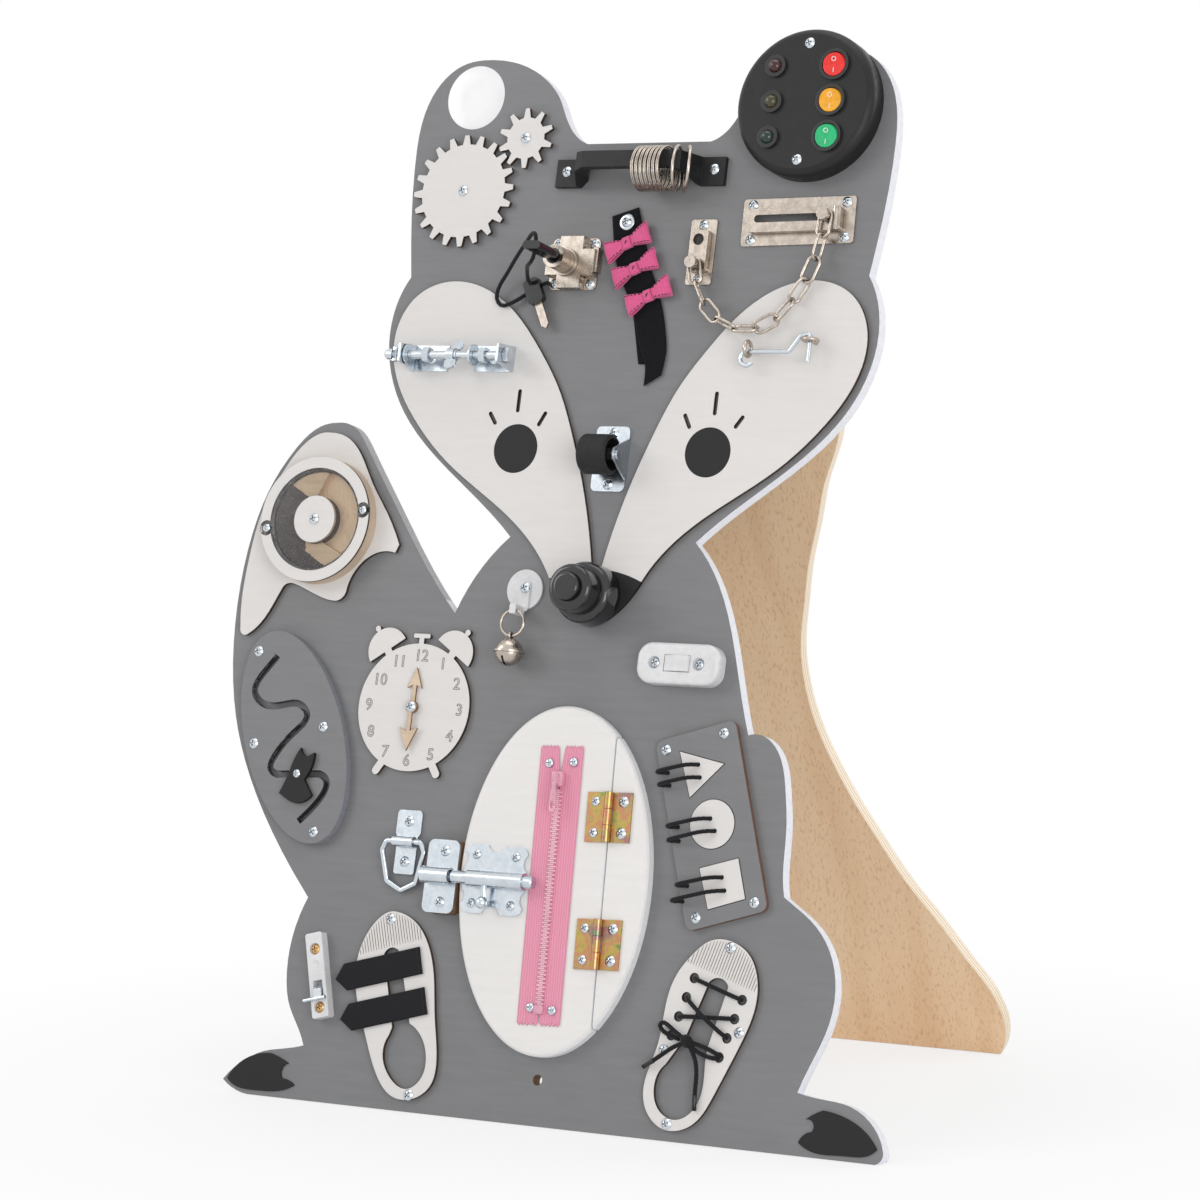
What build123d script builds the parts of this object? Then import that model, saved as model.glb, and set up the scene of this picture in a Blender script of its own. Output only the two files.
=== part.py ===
from build123d import *
import os
from math import acos, cos, degrees, pi, radians, sin, sqrt, tan

# A free-standing busy board: a sitting animal cut from one painted panel, which leans
# back on a hinged leg and carries locks, latches, gears, switches and laces to play with.
# Millimetres. The panel is drawn flat, with U to the right, V up the panel and W out of
# its front face, and is then leaned back. Origin: middle of the panel's sole. +Z is up.

os.makedirs("parts", exist_ok=True)

# ---------------------------------------------------------------- driving dimensions
LEAN = 14.0  # degrees that the panel leans back from upright
PANEL = 10.0  # thickness of the main panel
OVERLAY = 3.0  # thickness of the white plywood overlays
PATCH = 1.0  # thickness of the black claw patches
STAND_PLY = 10.0  # thickness of the rear leg
HEAD_WIDTH = 398.0  # widest part of the head, cheek to cheek
FINE = 0.3  # gap between pieces that move past each other
SHAFT_FIT = 0.05  # radial clearance of a shaft or screw in its hole
SCREW_R = 1.6  # shank radius of the wood screws
SCREW_HEAD_R = 3.9
SCREW_HEAD_H = 2.2
SCREW_BITE = 7.0  # how deep a screw goes into the main panel

GEAR_TEETH = 20
PINION_TEETH = 10
GEAR_TIP_R = 42.0
PINION_TIP_R = 22.5
TOOTH_DEPTH = 7.0
GEAR_DISTANCE = 61.4  # between the two gear centres
GEAR_PLY = 3.0
GEAR_WASHER = 0.8

HANDLE_LENGTH = 137.0
HANDLE_REACH = 26.0  # front of the grip above the panel
HANDLE_BAR = 7.0  # grip thickness, front to back
HANDLE_GRIP = 12.0  # grip height
RING_R = 15.8  # split ring, to the middle of its wire
RING_WIRE = 1.2

BOX_R = 53.5  # light box, at the panel
BOX_FACE_R = 48.5
BOX_DEPTH = 18.0
BOX_WALL = 2.5
LED_PITCH = 25.7
LENS_R = 5.0
ROCKER_R = 8.7
ROCKER_TILT = 8.0  # degrees each way from level
BEZEL_R = 11.2

CHAIN_WIRE = 1.1
LINK_WIDTH = 11.5
HOOK_WIRE = 1.5
EYE_WIRE = 1.4

RACK_ROD_R = 3.0
RACK_SHEET = 2.0
RACK_HEIGHT = 14.0  # rod axis above the mask
LOCK_BASE = 39.0
LOCK_HEIGHT = 9.0
LOCK_BARREL_R = 8.5
LOCK_BARREL_TOP = 28.0

CASTER_R = 14.3
CASTER_WIDTH = 23.0
CASTER_AXLE_W = 17.5
SHEET = 1.5  # sheet metal of the small brackets

KNOB_R = 22.0
KNOB_FACE_R = 17.0
KNOB_TOP = 40.0
NOSE_BUTTON_R = 10.0

BELL_R = 10.0
BELL_WALL = 0.8

LAMP_LENGTH = 64.0
LAMP_WIDTH = 29.0
LAMP_HEIGHT = 12.0

WHEEL_R = 46.5
WHEEL_WINDOW_R = 36.0
WHEEL_HUB_R = 17.5
WHEEL_DEPTH = 11.0

MAZE_PLY = 6.0
MAZE_SLOT = 5.2
CLOCK_R = 46.4
CLOCK_HAND_PLY = 1.5

DOOR_HALF_WIDTH = 75.0
DOOR_HALF_HEIGHT = 123.0
DOOR_PLY = 9.0
DOOR_SEAM = 41.5  # where the door ends and its fixed jamb begins
DOOR_GAP = 1.2
HINGE_PIN_R = 1.5
HINGE_SHEET = 1.5
HINGE_KNUCKLE_R = 3.0
HINGE_LEAF = 16.0
HINGE_LENGTH = 35.0

BOLT_R = 4.5
BOLT_AXIS = 17.0  # rod axis above the panel
BOLT_SHEET = 2.0

ZIP_TAPE = 1.2
SHAPE_PLY = 4.0
CORD_R = 1.5
STRAP = 19.5
STRAP_THICK = 1.6
LACE_R = 1.6

STAND_HINGE_V = 670.0  # pin of the rear hinge, up the panel
STAND_ANGLE = 19.2  # degrees of the leg from upright when it stands
REAR_PIN_OFFSET = 4.0  # pin to the board's back, and to the leg's face
REAR_HINGE_U = 70.0

# ---------------------------------------------------------------- shared frame
COS, SIN = cos(radians(LEAN)), sin(radians(LEAN))
SOLE_FRONT = PANEL / (2 * COS)
LEANED = Location(Plane(origin=(0, -SOLE_FRONT, 0), x_dir=(1, 0, 0), z_dir=(0, -COS, SIN)))


def leaned(u, v, w):
    """World point of a place on the panel."""
    return (u, SIN * v - COS * w - SOLE_FRONT, COS * v + SIN * w)


def write(node, *pieces, place=LEANED):
    solids = [place * solid for piece in pieces for solid in piece.solids()]
    shape = solids[0] if len(solids) == 1 else Compound(children=solids)
    export_step(shape, f"parts/{node}.step")


# ---------------------------------------------------------------- small shape makers
def curve(points):
    """Two points make a line, three an arc, more a smooth curve."""
    if len(points) == 2:
        return Line(*points).edge()
    if len(points) == 3:
        return ThreePointArc(*points).edge()
    return Spline(*points).edge()


def outline(*runs):
    """Closed face; each run of points starts where the one before it ended."""
    edges, start = [], runs[-1][-1]
    for run in runs:
        edges.append(curve([start, *run]))
        start = run[-1]
    return Face(Wire(edges))


def polygon(*corners):
    return outline(*[[corner] for corner in corners])


def mirrored(points):
    return [(-u, v) for u, v in reversed(points)]


def slab(face, low, high):
    return Pos(0, 0, low) * extrude(face, high - low, dir=(0, 0, 1))


def peg(at, radius, low, high):
    return Pos(at[0], at[1], (low + high) / 2) * Cylinder(radius, high - low)


def tile(at, width, height, low, high, corner=0, turn=0):
    flat = RectangleRounded(width, height, corner) if corner else Rectangle(width, height)
    return Pos(at[0], at[1], low) * Rot(0, 0, turn) * extrude(flat, high - low)


def along_u(u_from, u_to, v, w, radius):
    """Round bar lying along U."""
    return Pos((u_from + u_to) / 2, v, w) * Rot(0, 90, 0) * Cylinder(radius, abs(u_to - u_from))


def along_v(u, v_from, v_to, w, radius):
    return Pos(u, (v_from + v_to) / 2, w) * Rot(90, 0, 0) * Cylinder(radius, abs(v_to - v_from))


def in_side_view(face, thickness, at):
    """A face drawn in V (its X) and W (its Y), given a thickness along U about AT."""
    upright = Plane(origin=(at, 0, 0), x_dir=(0, 1, 0), z_dir=(1, 0, 0))
    return upright * extrude(face, thickness / 2, both=True)


def in_top_view(face, thickness, at):
    """A face drawn in U (its X) and W (its Y), given a thickness along V about AT."""
    flat = Plane(origin=(0, at, 0), x_dir=(1, 0, 0), z_dir=(0, -1, 0))
    return flat * extrude(face, thickness / 2, both=True)


def turned(angle, distance):
    return (distance * cos(radians(angle)), distance * sin(radians(angle)))


def cord_radii(points):
    """The largest arc that each corner of a cord's route has room for."""
    radii = []
    for before, here, after in zip(points, points[1:], points[2:]):
        arriving, leaving = Vector(*here) - Vector(*before), Vector(*after) - Vector(*here)
        turn = radians(arriving.get_angle(leaving))
        radii.append(0.45 * min(arriving.length, leaving.length) / tan(turn / 2))
    return radii


def cord(points, radius, label):
    radii = cord_radii(points)
    print(label, "arc radii", [round(r, 1) for r in radii])
    path = FilletPolyline(*points, radius=radii)
    start = Plane(origin=path @ 0, z_dir=path % 0)
    tube = sweep(start * Circle(radius), path=path)
    print(label, "volume over section times length", round(tube.volume / (pi * radius**2 * path.length), 4))
    return tube


def chain_link(length, width, wire):
    """One oval link lying flat, its long way along X."""
    path = SlotOverall(length - 2 * wire, width - 2 * wire).face().outer_wire()
    start = Plane(origin=path @ 0, z_dir=path % 0)
    return sweep(start * Circle(wire), path=path)


# ---------------------------------------------------------------- screws
def pan_screw(grip, head_r=SCREW_HEAD_R, head_h=SCREW_HEAD_H):
    """Cross-head screw with its seat at W = 0; GRIP is its length below the head."""
    dome = Sphere(head_r * 1.25)
    dome = Pos(0, 0, head_h - head_r * 1.25) * dome
    head = dome & (Pos(0, 0, head_h / 2) * Cylinder(head_r, head_h))
    for turn in (0, 90):
        slot = Pos(0, 0, head_h) * Rot(0, 0, turn) * Box(head_r * 1.15, head_r * 0.26, head_h * 1.1)
        head -= slot
    shank = Pos(0, 0, -grip / 2) * Cylinder(SCREW_R, grip)
    return head + shank


SCREWS = {}
DRILLED = []


def screw(at, seat, turn=20, bite=SCREW_BITE):
    """A screw whose head sits at height SEAT and whose shank bites into the panel."""
    grip = seat + bite
    if grip not in SCREWS:
        SCREWS[grip] = pan_screw(grip)
    DRILLED.append(at)
    return Pos(at[0], at[1], seat) * Rot(0, 0, turn) * SCREWS[grip]


def drilled(piece, places, low=-SCREW_BITE - 0.5, high=60.0, radius=SCREW_R + SHAFT_FIT):
    """PIECE with a screw hole at each place."""
    return piece - [peg(at, radius, low, high) for at in places]


board_screws = []


def fasten(places, seat):
    for index, at in enumerate(places):
        board_screws.append(screw(at, seat, turn=20 + 35 * index))


# ---------------------------------------------------------------- outlines of the panel
HALF_HEAD = HEAD_WIDTH / 2
EAR = [(60, 709), (70, 722), (78, 738), (92, 753), (112, 764), (140, 769), (165, 765)]
EAR += [(184, 748), (193, 725), (195, 694), (191, 640), (186, 605)]
CHEEK = [(HALF_HEAD - 4, 586), (HALF_HEAD - 1, 557), (183, 512), (133, 461), (75, 414)]
HAUNCH_RIGHT = [(182, 167), (199, 155), (212, 139), (220, 110), (217, 86), (209, 65), (200, 42)]
HAUNCH_LEFT = [(-202, 52), (-211, 66), (-217, 90), (-216, 116), (-207, 145)]
TAIL_OUTSIDE = [(-229, 170), (-265, 220), (-288, 268), (-301, 340), (-298, 400), (-286, 444)]
TAIL_OUTSIDE += [(-269, 473), (-252, 490), (-235, 495)]
TAIL_INSIDE = [(-217, 491), (-205, 477), (-175, 435), (-149, 399), (-113, 357)]


def make_panel():
    return slab(
        outline(
            [(50, 703.5)],
            EAR,
            CHEEK,
            [(102, 375), (121, 319), (133, 281)],
            [(145, 281), (157, 271), (166, 245), (170, 218), (171, 190), (174, 172)],
            HAUNCH_RIGHT,
            [(222, 39), (241, 36), (255, 28), (267, 10)],
            [(267, 4), (262, 0)],
            [(-232, 0)],
            [(-250, 3), (-260, 9)],
            [(-254, 16), (-244, 24), (-228, 32), (-213, 35), (-195, 39)],
            HAUNCH_LEFT,
            TAIL_OUTSIDE,
            TAIL_INSIDE,
            [(-98, 387), (-75, 414)],
            mirrored(CHEEK)[1:] + [(-186, 605)],
            mirrored(EAR)[1:] + [(-50, 703.5)],
        ),
        -PANEL,
        0,
    )


def above_floor(piece):
    """What is left of a leaned piece above the floor."""
    return piece - Pos(0, 0, -50) * Box(1200, 1200, 100)


FLOOR_HOLE = (0, 32)
FLOOR_HOLE_R = 3.75

# ---------------------------------------------------------------- overlays and patches
NOSE = (0, 373)
NOSE_PATCH = outline(
    [(0, 392), (37, 384)],
    [(30, 373), (19, 361), (0, 352), (-19, 361), (-30, 373), (-37, 384)],
)
EYE = (77.8, 477.8)
EYE_R = 17.6


def make_mask():
    """The right face mask; the left one mirrors it."""
    lobe = [(21, 458), (34, 492), (48, 522), (68, 551), (92, 578), (120, 596), (150, 601)]
    lobe += [(177, 590), (191, 564), (185, 527), (165, 497), (134, 467), (77, 428), (50, 403), (36, 382)]
    mask = slab(outline(lobe, [(1.5, 380)]), 0, OVERLAY)
    mask -= slab(offset(NOSE_PATCH, FINE), -1, OVERLAY + 1)
    mask -= peg(EYE, EYE_R + FINE, -1, OVERLAY + 1)
    for (du, dv), length, angle in (((2, 35), 17, 90), ((22, 22), 11, 55), ((-19, 22), 12, 118)):
        lash = Pos(EYE[0] + du, EYE[1] + dv, 0) * Rot(0, 0, angle) * extrude(SlotOverall(length, 3), OVERLAY)
        mask -= lash
    return mask


TAIL_BADGE = outline(
    [(-216, 480), (-195, 450), (-179, 428), (-165.5, 405)],
    [(-168, 399)],
    [(-187, 397), (-198, 388), (-206, 369)],
    [(-209, 364), (-216, 362)],
    [(-229, 365), (-247, 372), (-257, 373.5), (-261, 371)],
    [(-268, 357), (-276, 344), (-286, 335)],
    [(-292, 334.5), (-294, 339)],
    [(-296, 358), (-294, 394), (-287, 430), (-274, 457), (-255, 481), (-246, 486), (-237, 487)],
)


def blob(*points):
    """Closed face inside one smooth curve."""
    return Face(Wire([Spline(*points, periodic=True).edge()]))


CLAW_LEFT = outline(
    [(-250, 19), (-240, 26.5), (-221, 31)],
    [(-214, 29), (-205, 25)],
    [(-210, 21), (-209, 14)],
    [(-203, 13), (-198, 10)],
    [(-210, 5), (-230, 3.5), (-248, 5), (-256, 10)],
)
CLAW_RIGHT = outline(
    [(213, 28), (209, 25)],
    [(215, 22), (214, 17)],
    [(208, 14), (205, 9)],
    [(215, 4), (240, 3.5), (256, 5), (263, 10)],
    [(254, 20), (237, 29), (221, 32)],
)

masks = [make_mask()]
masks.append(mirror(masks[0], Plane.YZ))
eyes = [peg((side * EYE[0], EYE[1]), EYE_R, 0, OVERLAY) for side in (-1, 1)]
tail_badge = slab(TAIL_BADGE, 0, OVERLAY)
nose_patch = slab(NOSE_PATCH, 0, OVERLAY)
claws = [slab(CLAW_LEFT, 0, PATCH), slab(CLAW_RIGHT, 0, PATCH)]

# ---------------------------------------------------------------- gears
GEAR_CENTRE = (-148.0, 669.0)
MESH_ANGLE = 39.2  # direction from the big gear to its pinion
PINION_CENTRE = tuple(a + b for a, b in zip(GEAR_CENTRE, turned(MESH_ANGLE, GEAR_DISTANCE)))
GEAR_LOW = GEAR_WASHER + FINE
GEAR_TOP = GEAR_LOW + GEAR_PLY


def gear(teeth, tip_r, centre, first_tooth):
    """Flat gear with blunt, tapered teeth; FIRST_TOOTH is one tooth's direction in degrees."""
    root_r = tip_r - TOOTH_DEPTH
    wheel = Pos(0, 0, GEAR_PLY / 2) * Cylinder(root_r, GEAR_PLY)
    half_root, half_tip = root_r * pi / teeth * 0.62, root_r * pi / teeth * 0.33
    tooth = polygon((root_r - 1, -half_root), (tip_r, -half_tip), (tip_r, half_tip), (root_r - 1, half_root))
    tooth = slab(tooth, 0, GEAR_PLY)
    wheel += [Rot(0, 0, first_tooth + 360 / teeth * index) * tooth for index in range(teeth)]
    wheel -= Pos(0, 0, GEAR_PLY / 2) * Cylinder(SCREW_R + SHAFT_FIT, GEAR_PLY * 2)
    return Pos(*centre, GEAR_LOW) * wheel


gear_big = gear(GEAR_TEETH, GEAR_TIP_R, GEAR_CENTRE, MESH_ANGLE)
pinion_phase = MESH_ANGLE + 180 + 180 / PINION_TEETH
gear_small = gear(PINION_TEETH, PINION_TIP_R, PINION_CENTRE, pinion_phase)
gear_washers = []
for centre in (GEAR_CENTRE, PINION_CENTRE):
    gear_washers.append(peg(centre, 6, 0, GEAR_WASHER) - peg(centre, SCREW_R + SHAFT_FIT, -1, 3))
    fasten([centre], GEAR_TOP + FINE)

# ---------------------------------------------------------------- pull handle and split rings
HANDLE_MID = (-2.5, 685.0)
HANDLE_FOOT = 4.0
foot_end, foot_start = HANDLE_LENGTH / 2, HANDLE_LENGTH / 2 - 20
handle_screws = [(HANDLE_MID[0] + side * (foot_end - 8.5), 682) for side in (-1, 1)]


def make_handle():
    """Arched grip between two flat feet."""
    inner = HANDLE_REACH - HANDLE_BAR
    right = [(foot_end, 0), (foot_end, HANDLE_FOOT), (foot_start + 2, HANDLE_FOOT)]
    right += [(foot_start - 6, HANDLE_REACH - 3), (foot_start - 12, HANDLE_REACH)]
    under = [(foot_start - 18, inner), (foot_start - 12, inner - 3), (foot_start - 6, 2), (foot_start - 5, 0)]
    left = [(-u, w) for u, w in reversed(right)]
    under_left = [(-u, w) for u, w in reversed(under)]
    arch = in_top_view(polygon(*right, *left, *under_left, *under), 40, 0)
    top, low, grip = 6.0, -14.5, 6.0 - HANDLE_GRIP
    half = [(foot_start - 14, grip), (foot_start - 6, grip - 2)]
    half += [(foot_start, low), (foot_end, low), (foot_end, top)]
    other = [(-u, v) for u, v in reversed(half)]
    plan = slab(polygon(*half, *other), -1, HANDLE_REACH + 1)
    handle = Pos(*HANDLE_MID, 0) * (arch & plan)
    return drilled(handle, handle_screws)


pull_handle = make_handle()
fasten(handle_screws, HANDLE_FOOT)

RING_TOP = HANDLE_MID[1] + 6.0
RING_MID_W = RING_R + RING_WIRE + 0.8
ring_drop = sqrt((RING_R - RING_WIRE - FINE) ** 2 - (HANDLE_REACH - RING_MID_W) ** 2)
RING_MID_V = RING_TOP - ring_drop


def split_ring(u, v, w, lean):
    """A key ring round the grip; LEAN turns it about V."""
    return Pos(u, v, w) * Rot(0, lean, 0) * Rot(0, 90, 0) * Torus(RING_R, RING_WIRE)


sliding_rings = [split_ring(7 + 3.4 * index, RING_MID_V, RING_MID_W, 0) for index in range(7)]
end_rings = [split_ring(35.0, RING_MID_V, 17.2, 16), split_ring(42.0, RING_MID_V, 15.4, 32)]

# ---------------------------------------------------------------- light box
BOX_MID = (129.0, 726.0)
box_screws = [(BOX_MID[0], BOX_MID[1] + 42), (BOX_MID[0], BOX_MID[1] - 42)]
led_places = [(104.8, BOX_MID[1] + LED_PITCH * row) for row in (1, 0, -1)]
rocker_places = [(150.5, BOX_MID[1] + LED_PITCH * row) for row in (1, 0, -1)]
BEZEL_TOP = BOX_DEPTH + 2.0
ROCKER_PIVOT = BOX_DEPTH - 0.5
bezel_inner = ROCKER_R + FINE


def make_light_box():
    """Turned housing, open at the back, with bosses for its two long screws."""
    rim = 8.0
    outside = Polyline((0, 0), (BOX_R, 0), (BOX_R, BOX_DEPTH - rim))
    shoulder_mid = (BOX_R - 1.8, BOX_DEPTH - 2.2)
    shoulder = ThreePointArc((BOX_R, BOX_DEPTH - rim), shoulder_mid, (BOX_FACE_R, BOX_DEPTH))
    back = Polyline((BOX_FACE_R, BOX_DEPTH), (0, BOX_DEPTH), (0, 0))
    face = make_face([*outside.edges(), shoulder.edge(), *back.edges()])
    housing = revolve(Plane.XZ * face, axis=Axis.Z)
    housing -= Pos(0, 0, (BOX_DEPTH - BOX_WALL) / 2) * Cylinder(BOX_FACE_R - BOX_WALL, BOX_DEPTH - BOX_WALL)
    housing = Pos(*BOX_MID, 0) * housing
    housing += [peg(at, 4.5, 0, BOX_DEPTH - 1) for at in box_screws]
    housing -= [peg(at, LENS_R + 1.0, 5, BOX_DEPTH + 5) for at in led_places]
    housing -= [peg(at, BEZEL_R - 1.2, 5, BOX_DEPTH + 5) for at in rocker_places]
    return drilled(housing, box_screws)


def make_bezels():
    """Six pressed-in collars: three for lenses, three for rocker switches."""
    collars = []
    for at in led_places:
        collar = peg(at, 8, BOX_DEPTH, BEZEL_TOP) + peg(at, LENS_R + 0.95, BOX_DEPTH - 6, BOX_DEPTH)
        collars.append(collar - peg(at, LENS_R + SHAFT_FIT, 0, BEZEL_TOP + 1))
    for at in rocker_places:
        collar = peg(at, BEZEL_R, BOX_DEPTH, BEZEL_TOP) + peg(at, BEZEL_R - 1.25, BOX_DEPTH - 8, BOX_DEPTH)
        collar -= peg(at, bezel_inner, BOX_DEPTH - 7, BEZEL_TOP + 1)
        collar -= along_u(at[0] - BEZEL_R + 0.6, at[0] + BEZEL_R - 0.6, at[1], ROCKER_PIVOT, 1.0 + SHAFT_FIT)
        collars.append(collar)
    return collars


def rocker(at):
    """Ball-sided switch rocker on two trunnions, resting on its far side."""
    reach = ROCKER_R + 1
    rise = reach * tan(radians(ROCKER_TILT))
    profile = polygon((-reach, -3), (reach, -3), (reach, 2.4 + rise), (0, 2.4), (-reach, 2.4 + rise))
    button = Sphere(ROCKER_R) & in_side_view(profile, 2 * reach, 0)
    button += along_u(-bezel_inner - 0.7, bezel_inner + 0.7, 0, 0, 1.0)
    return Pos(*at, ROCKER_PIVOT) * Rot(ROCKER_TILT, 0, 0) * button


def lens(at):
    dome = Pos(*at, BEZEL_TOP - 1.2) * Sphere(LENS_R) & peg(at, LENS_R, BEZEL_TOP - 1.2, BEZEL_TOP + 6)
    return dome + peg(at, LENS_R, BOX_DEPTH - 6, BEZEL_TOP - 1.2)


light_box = make_light_box()
bezels = make_bezels()
lenses = [lens(at) for at in led_places]
rockers = [rocker(at) for at in rocker_places]
battery_holder = tile((BOX_MID[0] - 1, BOX_MID[1]), 24, 56, 0, 9, corner=2)
fasten(box_screws, BOX_DEPTH)

# ---------------------------------------------------------------- door chain
TRACK_MID, TRACK_TURN = (127.3, 644.1), 1.3
TRACK_LENGTH, TRACK_WIDTH = 87.5, 34.0
SOCKET_MID = (53.5, 622.3)
SOCKET_LENGTH, SOCKET_WIDTH = 47.5, 20.5
CHANNEL_TOP = 7.0
SLOT_LENGTH, SLOT_WIDTH = 62.0, 5.4
CHAIN_TRAVEL = 52.0
KNOB_STEM = 2.3
KNOB_HEAD = 4.4
KNOB_HEAD_TOP = 16.0
TRACK_PLACE = Pos(*TRACK_MID, 0) * Rot(0, 0, TRACK_TURN)


def on_track(x, y):
    place = Vector(x, y, 0).rotate(Axis.Z, TRACK_TURN)
    return (TRACK_MID[0] + place.X, TRACK_MID[1] + place.Y)


track_screws = [on_track(x, y) for x in (-36.5, 36.5) for y in (-12.5, 12.5)]
socket_screws = [(SOCKET_MID[0] - 0.5, SOCKET_MID[1] + 19.5), (SOCKET_MID[0] - 0.5, SOCKET_MID[1] - 19.5)]
TRACK_KNOB = on_track(-1 + CHAIN_TRAVEL / 2, 1.2)
SOCKET_KNOB = (53.0, 612.0)


def pressed_channel(length, width):
    """Sheet-metal channel, open underneath."""
    outer = extrude(RectangleRounded(length, width, 2.5), CHANNEL_TOP)
    inner = extrude(Rectangle(length - 2 * SHEET, width - 2 * SHEET), CHANNEL_TOP - SHEET)
    return outer - inner


def make_track():
    plate = extrude(RectangleRounded(TRACK_LENGTH, TRACK_WIDTH, 2.5), SHEET)
    plate -= Pos(-1, 0, 0) * extrude(Rectangle(72 - 2 * SHEET, 17 - 2 * SHEET), SHEET)
    plate += Pos(-1, 0, 0) * pressed_channel(72, 17)
    roll = along_v(31, -8.4, 8.4, CHANNEL_TOP - 1, 2.6)
    plate += roll - Pos(0, 0, CHANNEL_TOP - SHEET - 50) * Box(200, 200, 100)
    slot = extrude(SlotOverall(SLOT_LENGTH, SLOT_WIDTH), 30)
    plate -= Pos(-1, 1.2, 2) * slot
    return drilled(TRACK_PLACE * plate, track_screws)


def make_socket():
    plate = extrude(RectangleRounded(SOCKET_WIDTH, SOCKET_LENGTH, 2), SHEET)
    plate = plate - extrude(Rectangle(14 - 2 * SHEET, 30 - 2 * SHEET), SHEET)
    plate += pressed_channel(14, 30)
    plate = Pos(*SOCKET_MID, 0) * plate
    plate -= peg((SOCKET_MID[0] - 0.5, SOCKET_MID[1] + 8), 4.2, 1, 20)
    plate += peg(SOCKET_KNOB, KNOB_STEM, CHANNEL_TOP - SHEET, 12)
    plate += peg(SOCKET_KNOB, KNOB_HEAD, 12, KNOB_HEAD_TOP)
    return drilled(plate, socket_screws)


def make_chain_knob():
    """Sliding knob, trapped in the track by a flange under the sheet."""
    knob = peg(TRACK_KNOB, KNOB_STEM, 1, 12) + peg(TRACK_KNOB, KNOB_HEAD, 12, KNOB_HEAD_TOP)
    return knob + peg(TRACK_KNOB, KNOB_HEAD, 1, CHANNEL_TOP - SHEET - FINE)


chain_plates = [make_track(), make_socket()]
chain_knob = make_chain_knob()
fasten(track_screws, SHEET)
fasten(socket_screws, SHEET)

CHAIN_W = 10.1
CHAIN_ROUTE = [(52.6, 614.5), (57, 597), (69, 578), (84, 567.5), (101, 564), (117, 568)]
CHAIN_ROUTE += [(130, 580), (141, 596), (148, 613), (151.5, 632), (152.6, 648.3)]
LINK_ROLLS = [0, 80, 5, 72, 125, 40, -35, 65, 5, 82, 0]
LINKS = len(LINK_ROLLS)


def make_chain():
    """Open links along a hanging curve, each turned a quarter from the last."""
    route = Spline(*CHAIN_ROUTE)
    pitch = route.length / LINKS
    length = pitch + 4 * CHAIN_WIRE + FINE
    link = chain_link(length, LINK_WIDTH, CHAIN_WIRE)
    links = []
    for index in range(LINKS):
        start, end = route @ (index / LINKS), route @ ((index + 1) / LINKS)
        middle, heading = (start + end) / 2, end - start
        angle = Vector(1, 0, 0).get_signed_angle(heading, Vector(0, 0, 1))
        turned = Rot(0, 0, angle) * Rot(LINK_ROLLS[index], 0, 0) * link
        links.append(Pos(middle.X, middle.Y, CHAIN_W) * turned)
    return links


chain_links = make_chain()

# ---------------------------------------------------------------- gate hook and its eyes
HOOK_PIVOT = (104.8, 550.0)
HOOK_W = 12.0
HOOK_END_U = 152.5
FLAT_EYE = (HOOK_END_U, 556.5)
EYE_R = 5.2
HOOK_LOOP = 5.0
HOOK_DROP = 1.7  # how far the loop hangs below the middle of its eye's wire
eye_ring = Torus(EYE_R, EYE_WIRE)


def make_screw_eyes():
    """One eye stands upright for the hook's loop, the other lies flat for its tip."""
    left = Pos(HOOK_PIVOT[0], HOOK_PIVOT[1], HOOK_W) * Rot(0, 90, 0) * eye_ring
    left += peg(HOOK_PIVOT, EYE_WIRE, -SCREW_BITE, HOOK_W - EYE_R)
    right = Pos(*FLAT_EYE, HOOK_W) * Rot(90, 0, 0) * eye_ring
    right += peg(FLAT_EYE, EYE_WIRE, -SCREW_BITE, HOOK_W - EYE_R)
    return [left, right]


def make_gate_hook():
    """Wire hook: an open loop round the upright eye, a cranked stem and a dropped tip."""
    u, v = HOOK_PIVOT
    low = v - EYE_R - HOOK_DROP
    top = low + HOOK_LOOP
    loop = CenterArc((u, low, HOOK_W), HOOK_LOOP, 90, 235)
    stem = [(u, top), (u + 32, top), (u + 40, top + 11.5), (HOOK_END_U, top + 13), (HOOK_END_U, v - 9)]
    path = Wire([*loop.edges(), *FilletPolyline(*[(a, b, HOOK_W) for a, b in stem], radius=2.5).edges()])
    start = Plane(origin=path @ 0, z_dir=path % 0)
    return sweep(start * Circle(HOOK_WIRE), path=path)


screw_eyes = make_screw_eyes()
masks[0] = drilled(masks[0], [HOOK_PIVOT, FLAT_EYE], radius=EYE_WIRE + SHAFT_FIT)
DRILLED += [HOOK_PIVOT, FLAT_EYE]
gate_hook = make_gate_hook()

# ---------------------------------------------------------------- ribbon and bows
RIBBON_SCREW = (-9.0, 644.5)
RIBBON = outline(
    [(-22, 649)],
    [(-14, 615), (2, 583), (12, 556), (19, 540)],
    [(20, 525)],
    [(33, 533), (34, 552), (27, 583), (13, 615), (-1, 655.5)],
)
UNDER_RIBBON = polygon((-1, 598), (13, 541), (21, 541), (9, 598))
BOWS = [(-5.3, 628.7), (3.2, 609.8), (16.7, 589.9)]
RIBBON_LOW, RIBBON_TOP = 1.0, 1.8


def bow(at):
    """Folded bow: two flared loops and a band, tied across the ribbon."""
    half = [(2.5, 2.2), (17.5, 9), (19, 2), (18.5, -6.5), (2.5, -2.4)]
    other = [(-x, -y) for x, y in half]
    loops = slab(polygon(*half, *other), 0, 6) & (Rot(90, 0, 0) * Cylinder(26, 40)).moved(Pos(0, 0, -20))
    band = extrude(RectangleRounded(6.5, 7.5, 1.5), 7)
    return Pos(*at, RIBBON_TOP) * Rot(0, 0, 22) * (loops + band)


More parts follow.
